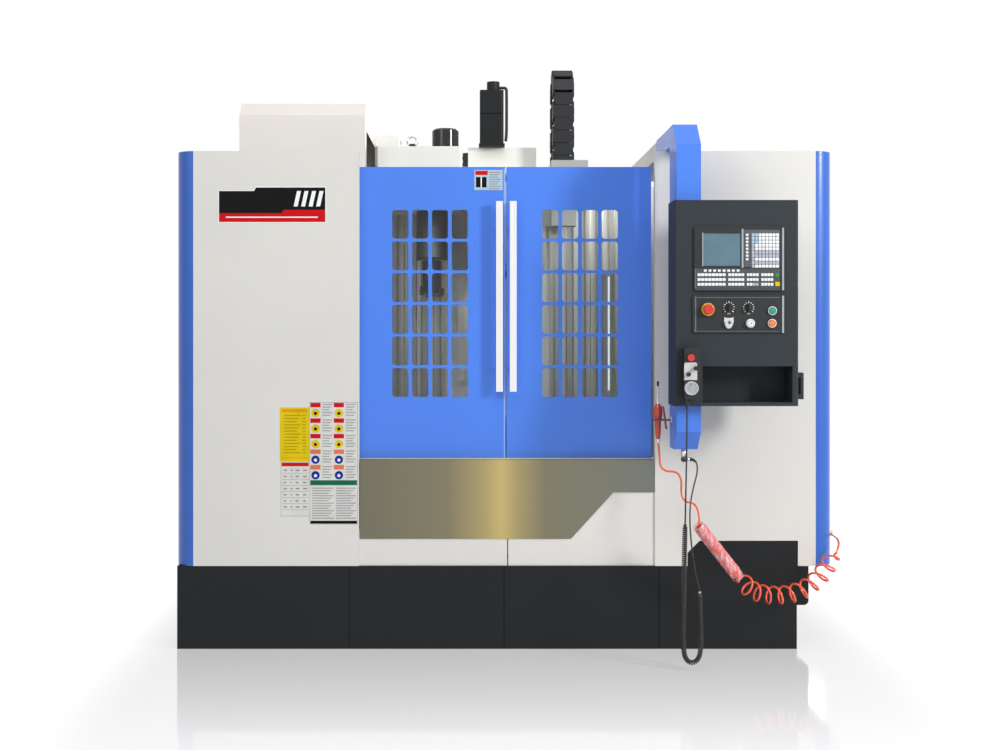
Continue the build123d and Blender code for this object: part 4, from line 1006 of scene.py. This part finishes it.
def panel_trim():
    """The stop's collar, the rings of the lit buttons and the barrels of the two switches."""
    bm = bmesh.new()
    silver_slot, yellow_slot, white_slot, grey_slot = range(4)

    def ring(x, z, size, slot):
        radius, inner, stand_off, depth = size
        add_ring(bm, place(x, panel_face - stand_off, z), radius, inner, depth, slot)

    ring(stop_x, stop_z, stop_collar, yellow_slot)
    for x, z in lit_buttons:
        ring(x, z, button_ring, silver_slot)
    for x, z in (shielded_switch, ringed_switch):
        ring(x, z, switch_barrel, silver_slot)
    x, z = shielded_switch
    outline = [place(x + dx, panel_face, z + dz) for dx, dz in shield_upper + shield_lower]
    add_plate(bm, outline, Vector((0, -shield_relief * mm, 0)), silver_slot)
    ring(*shielded_switch, switch_face, grey_slot)
    ring(*ringed_switch, white_ring, white_slot)
    ring(*ringed_switch, switch_face, white_slot)
    colours = [silver, yellow_plastic, printed["white"], printed["key_grey"]]
    from_bmesh("panel_trim", bm, colours, "control_box")


panel_fields()
panel_trim()


# Pendant: its face and the knobs' marks in pixels, the scale of the handwheel in millimetres
pendant_face = -382
face_left, face_top, face_right, face_bottom = 684.2, 362.4, 697.2, 380
face_corner = 1.2
knobs = ((695, 1134), (668, 1112))
dot_reach, dot_radius, dot_turn = 3.1, 0.25, radians(30)
wheel_x, wheel_z = 679, 1061
dial_radius, dial_hollow, dial_depth, dial_stand_off = 25.4, 20.6, 10, 10.4
tick_count, tick_half_width, tick_start, tick_end = 40, 0.4, 22.4, 24.8
tick_relief = 0.1


def pendant_fields():
    p = Print("pendant_fields", pendant_face, "control_box")
    outline = [
        (face_left, face_top + face_corner),
        (face_left + face_corner, face_top),
        (face_right - face_corner, face_top),
        (face_right, face_top + face_corner),
        (face_right, face_bottom),
        (face_left, face_bottom),
    ]
    p.shape("dial", outline)
    for x, z in knobs:
        column, row = column_row(x, z, pendant_face)
        for n in range(-2, 3):
            across, up = dot_reach * sin(dot_turn * n), dot_reach * cos(dot_turn * n)
            p.dot("ink", column + across, row - up, dot_radius, 2)
    p.finish()


def wheel_dial():
    """A ring with a plain scale on the handwheel's rim."""
    bm = bmesh.new()
    dial_slot, ink_slot = range(2)
    centre = place(wheel_x, pendant_face - dial_stand_off, wheel_z)
    add_ring(bm, centre, dial_radius, dial_hollow, dial_depth, dial_slot, steps=48)
    centre = place(wheel_x, pendant_face - dial_stand_off - tick_relief, wheel_z)
    for t in turns(tick_count):
        out = Vector((cos(t), 0, sin(t)))
        side = Vector((-out.z, 0, out.x)) * tick_half_width * mm
        near, far = centre + tick_start * mm * out, centre + tick_end * mm * out
        corners = [near - side, far - side, far + side, near + side]
        bm.faces.new(add_points(bm, corners)).material_index = ink_slot
    from_bmesh("wheel_dial", bm, [printed["dial"], printed["ink"]], "handwheel")


pendant_fields()
wheel_dial()


# Lamp's bright strip
strip_half_width, strip_relief, strip_depth, strip_margin = 4 * mm, 1 * mm, 3 * mm, 30 * mm
strip_edge = 1 * mm
# Eyebolt over the tool changer's case: its ring, its foot as half width, lower and upper end and
# edge of each step, and the grease pin beside it as radii and heights
changer_y = 851
eye_x, eye_z = -406, 2160
eye_radius, eye_wire = 22 * mm, 6.3 * mm
eye_rounds, eye_sides = 36, 14
foot_plate = (22.4, 2120, 2132.6, 1.5)
foot_collar = (14, 2132, 2146, 2)
pin_x = -460
pin = ((5, 2120), (5, 2126), (2.6, 2127), (2.6, 2156), (4, 2157), (4, 2164))
# Dark sheet sleeve round the neck of the case, with a raised joint
neck_x = -314
neck_profile = ((72.5, 1600.5), (72.5, 1610), (73.5, 1610.5), (73.5, 1616), (72.5, 1616.5))
neck_profile += ((72.5, 1829.6),)
# Z motor's cable and the terminal block beside the motor's seat
cable_radius = 7.5 * mm
cable_route = (
    (10, 1240, 2484), (26, 1240, 2484), (40, 1240, 2484), (46, 1240, 2476),
    (47, 1240, 2460), (47, 1240, 2380), (47, 1240, 2300), (46, 1240, 2240),
    (42, 1240, 2218),
)
terminal_count, terminal_pitch, terminal_inset, terminal_edge = 4, 17, 4, 2 * mm
terminal_low, terminal_high = (-176, 1244, 2096), (-146.2, 1290, 2110)
base_low, base_high, base_edge = (-158, 1250, 2094), (-146.1, 1286, 2162), 1 * mm
# Air gun: a moulded grip with a waist, a thin tube and a tip
gun_x, gun_y = 591, -150
gun_foot = ((6.6, 853), (8, 856), (9.5, 862), (10.4, 880), (11.6, 905), (11.8, 925), (14.5, 934))
gun_head = ((16.6, 946), (17, 962), (16, 974), (12.5, 983), (7, 988), (5, 990))
gun_tube = ((4.6, 996), (2.4, 998), (2.4, 1058))
gun_tip = ((3.8, 1059), (4.2, 1074), (2.6, 1078))
# Rubber cover on the fork that carries the gun, and the clamp that holds the cover
fork_parts = (
    ((569.8, -171.2, 924.8), (643, -163.2, 930.2)),
    ((569.8, -136.8, 924.8), (643, -128.8, 930.2)),
    ((604.4, -163.4, 924.8), (637, -136.6, 930.2)),
)
clamp_box = ((637.4, -173, 918), (642.8, -127, 941))
fork_edge, clamp_edge = 0.8 * mm, 1.5 * mm
# Connector of the pendant's cord: its stem upwards and its collar towards the lead
connector_x, connector_y = 684, -190
stem = ((9.3, 784.5), (9.3, 800), (11, 801), (11, 808), (9.3, 809), (9.3, 817.8))
collar_places = ((698, -190, 778.5), (702, -190, 778.5), (706, -190, 778.5))
collar_radius = 7.8 * mm


def lamp_strip():
    bm = bmesh.new()
    low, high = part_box("work_lamp")
    middle = (low.x + high.x) / 2
    start = Vector((middle - strip_half_width, low.y - strip_relief, low.z + strip_margin))
    end = Vector((middle + strip_half_width, low.y + strip_depth, high.z - strip_margin))
    add_box(bm, start, end, strip_edge)
    from_bmesh("lamp_strip", bm, [lamp_glow], "root")


def eyebolt():
    """A bright ring over the eye of the tool changer's case, on a black foot, and a grease pin."""
    bm = bmesh.new()
    silver_slot, black_slot = range(2)
    centre = place(eye_x, changer_y, eye_z)
    rings = []
    for turn in turns(eye_rounds):
        out = Vector((cos(turn), 0, sin(turn)))
        spots = [
            out * (eye_radius + eye_wire * cos(t)) + Vector((0, eye_wire * sin(t), 0))
            for t in turns(eye_sides)
        ]
        rings.append(add_points(bm, [centre + spot for spot in spots]))
    for first, second in zip(rings, rings[1:] + rings[:1]):
        add_band(bm, first, second, silver_slot, smooth=True)
    for half, low, high, edge in (foot_plate, foot_collar):
        start = place(eye_x - half, changer_y - half, low)
        end = place(eye_x + half, changer_y + half, high)
        add_box(bm, start, end, edge * mm, black_slot)
    add_turned(bm, pin_x, changer_y, pin, steps=16)
    from_bmesh("eyebolt_trim", bm, [silver, gloss_black], "root")


def terminal_block():
    """A row of terminals, every second one set back, on a common base."""
    bm = bmesh.new()
    for n in range(terminal_count):
        up = Vector((0, 0, terminal_pitch * n * mm))
        inset = Vector((1, 1, 0)) * terminal_inset * (n % 2) * mm
        low, high = place(*terminal_low) + up + inset, place(*terminal_high) + up
        add_box(bm, low, high, terminal_edge)
    add_box(bm, place(*base_low), place(*base_high), base_edge)
    from_bmesh("terminal_block", bm, [black_plastic], "root")


lamp_strip()
eyebolt()
turned_piece("neck_shroud", [inner_dark], neck_x, changer_y, neck_profile, steps=48)
cord_mesh("motor_cable", read_line(cable_route), cable_radius, black_plastic, "root", sides=12)
terminal_block()
gun_parts = (gun_foot + gun_head, gun_tube, gun_tip)
gun_finishes = [gun_plastic, silver, black_plastic]
piece = turned_piece("air_gun_body", gun_finishes, gun_x, gun_y, *gun_parts)
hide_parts("air_gun")
box_piece("fork_cover", brown_rubber, fork_edge, *fork_parts)
box_piece("fork_clamp", cream, clamp_edge, clamp_box)
turned_piece("connector_stem", [silver], connector_x, connector_y, stem)
collar_line = [place(*point) for point in collar_places]
cord_mesh("connector_collar", collar_line, collar_radius, silver, "root", sides=24)


# Floor, backdrop and lamps. The floor is white where it is seen beyond the object's shadow, and
# mirrors the object from some way in front of the panels.
floor_half = 30
floor_glow, glow_share = 1.09, 0.6
mirror_roughness, mirror_share, mirror_reach = 0.06, 0.42, 1.9
shadow_half_box = (1.25, 1.3, 0)
shadow_weights = (1.0, 0.2, 0.0)
shadow_fade = (0.02, 0.45)


def floor():
    """White ground that keeps a soft shadow and a fading reflection near the object."""
    mesh = bpy.data.meshes.new("floor")
    signs = ((-1, -1), (1, -1), (1, 1), (-1, 1))
    corners = [(x * floor_half, y * floor_half, 0) for x, y in signs]
    mesh.from_pydata(corners, [], [(0, 1, 2, 3)])
    pale = shade((250, 250, 250))
    n = Nodes("studio_floor", Base_Color=pale, Roughness=0.9, Specular_IOR_Level=0.0)
    glow = n.add("Emission", {"Strength": floor_glow}).outputs["Emission"]
    rays = n.add("LightPath").outputs
    seen = n.combine("MAXIMUM", rays["Is Camera Ray"], rays["Is Glossy Ray"])
    share = n.combine("MULTIPLY", seen, glow_share)
    pale = n.mix(share, n.shader.outputs["BSDF"], glow)
    mirror = n.add("BsdfAnisotropic", {"Roughness": mirror_roughness}).outputs["BSDF"]
    depth = n.add("SeparateXYZ", {"Vector": n.place}).outputs["Y"]
    near = n.remap(depth, front - mirror_reach, front, 0.0, mirror_share, "SMOOTHSTEP")
    polished = n.mix(near, pale, mirror)
    vector = {"kind": "VectorMath", "output": "Vector"}
    outside = n.combine("ABSOLUTE", n.place, **vector)
    outside = n.combine("SUBTRACT", outside, shadow_half_box, **vector)
    outside = n.combine("MAXIMUM", outside, (0, 0, 0), **vector)
    outside = n.combine("MULTIPLY", outside, shadow_weights, **vector)
    length = n.combine("LENGTH", outside, kind="VectorMath")
    away = n.remap(length, *shadow_fade, interpolation="SMOOTHSTEP")
    n.surface(n.mix(n.combine("MULTIPLY", away, seen), polished, glow))
    mesh.materials.append(n.material)
    piece = new_object("floor", mesh)


def backdrop():
    """White to the camera and in reflections, and a soft grey light on the object."""
    world = bpy.data.worlds.new("studio")
    scene.world = world
    world.use_nodes = True
    graph = Graph(world.node_tree)
    ambient = graph.tree.nodes["Background"]
    ambient.inputs["Color"].default_value = shade((226, 230, 236))
    ambient.inputs["Strength"].default_value = 0.27
    white = graph.add("Background", {"Color": (1, 1, 1, 1), "Strength": 1.0})
    rays = graph.add("LightPath").outputs
    seen = graph.combine("MAXIMUM", rays["Is Camera Ray"], rays["Is Transmission Ray"])
    seen = graph.combine("MAXIMUM", seen, rays["Is Glossy Ray"])
    light = graph.mix(seen, ambient.outputs["Background"], white.outputs["Background"])
    graph.tree.links.new(light, graph.tree.nodes["World Output"].inputs["Surface"])


def lamp(name, location, size, power):
    """A soft square lamp that faces the object's middle."""
    data = bpy.data.lights.new(name, "AREA")
    data.shape = "RECTANGLE"
    data.size, data.size_y = size
    data.energy = power
    piece = new_object(name, data)
    piece.location = location
    aim = lamps_target - Vector(location)
    piece.rotation_euler = aim.to_track_quat("-Z", "Y").to_euler()


floor()
backdrop()
lamps_target = Vector((0, 0, 1.4))
lamp("left_softbox", (-4.0, -5.6, 4.6), (2.4, 3.0), 70)
lamp("right_softbox", (5.6, -4.8, 3.6), (1.0, 2.0), 320)
lamp("top_softbox", (0, -3.2, 5.8), (4.0, 2.4), 90)
lamp("rear_softbox", (1.5, 5.5, 3.4), (3.0, 3.0), 120)
scene.view_settings.view_transform = "Standard"
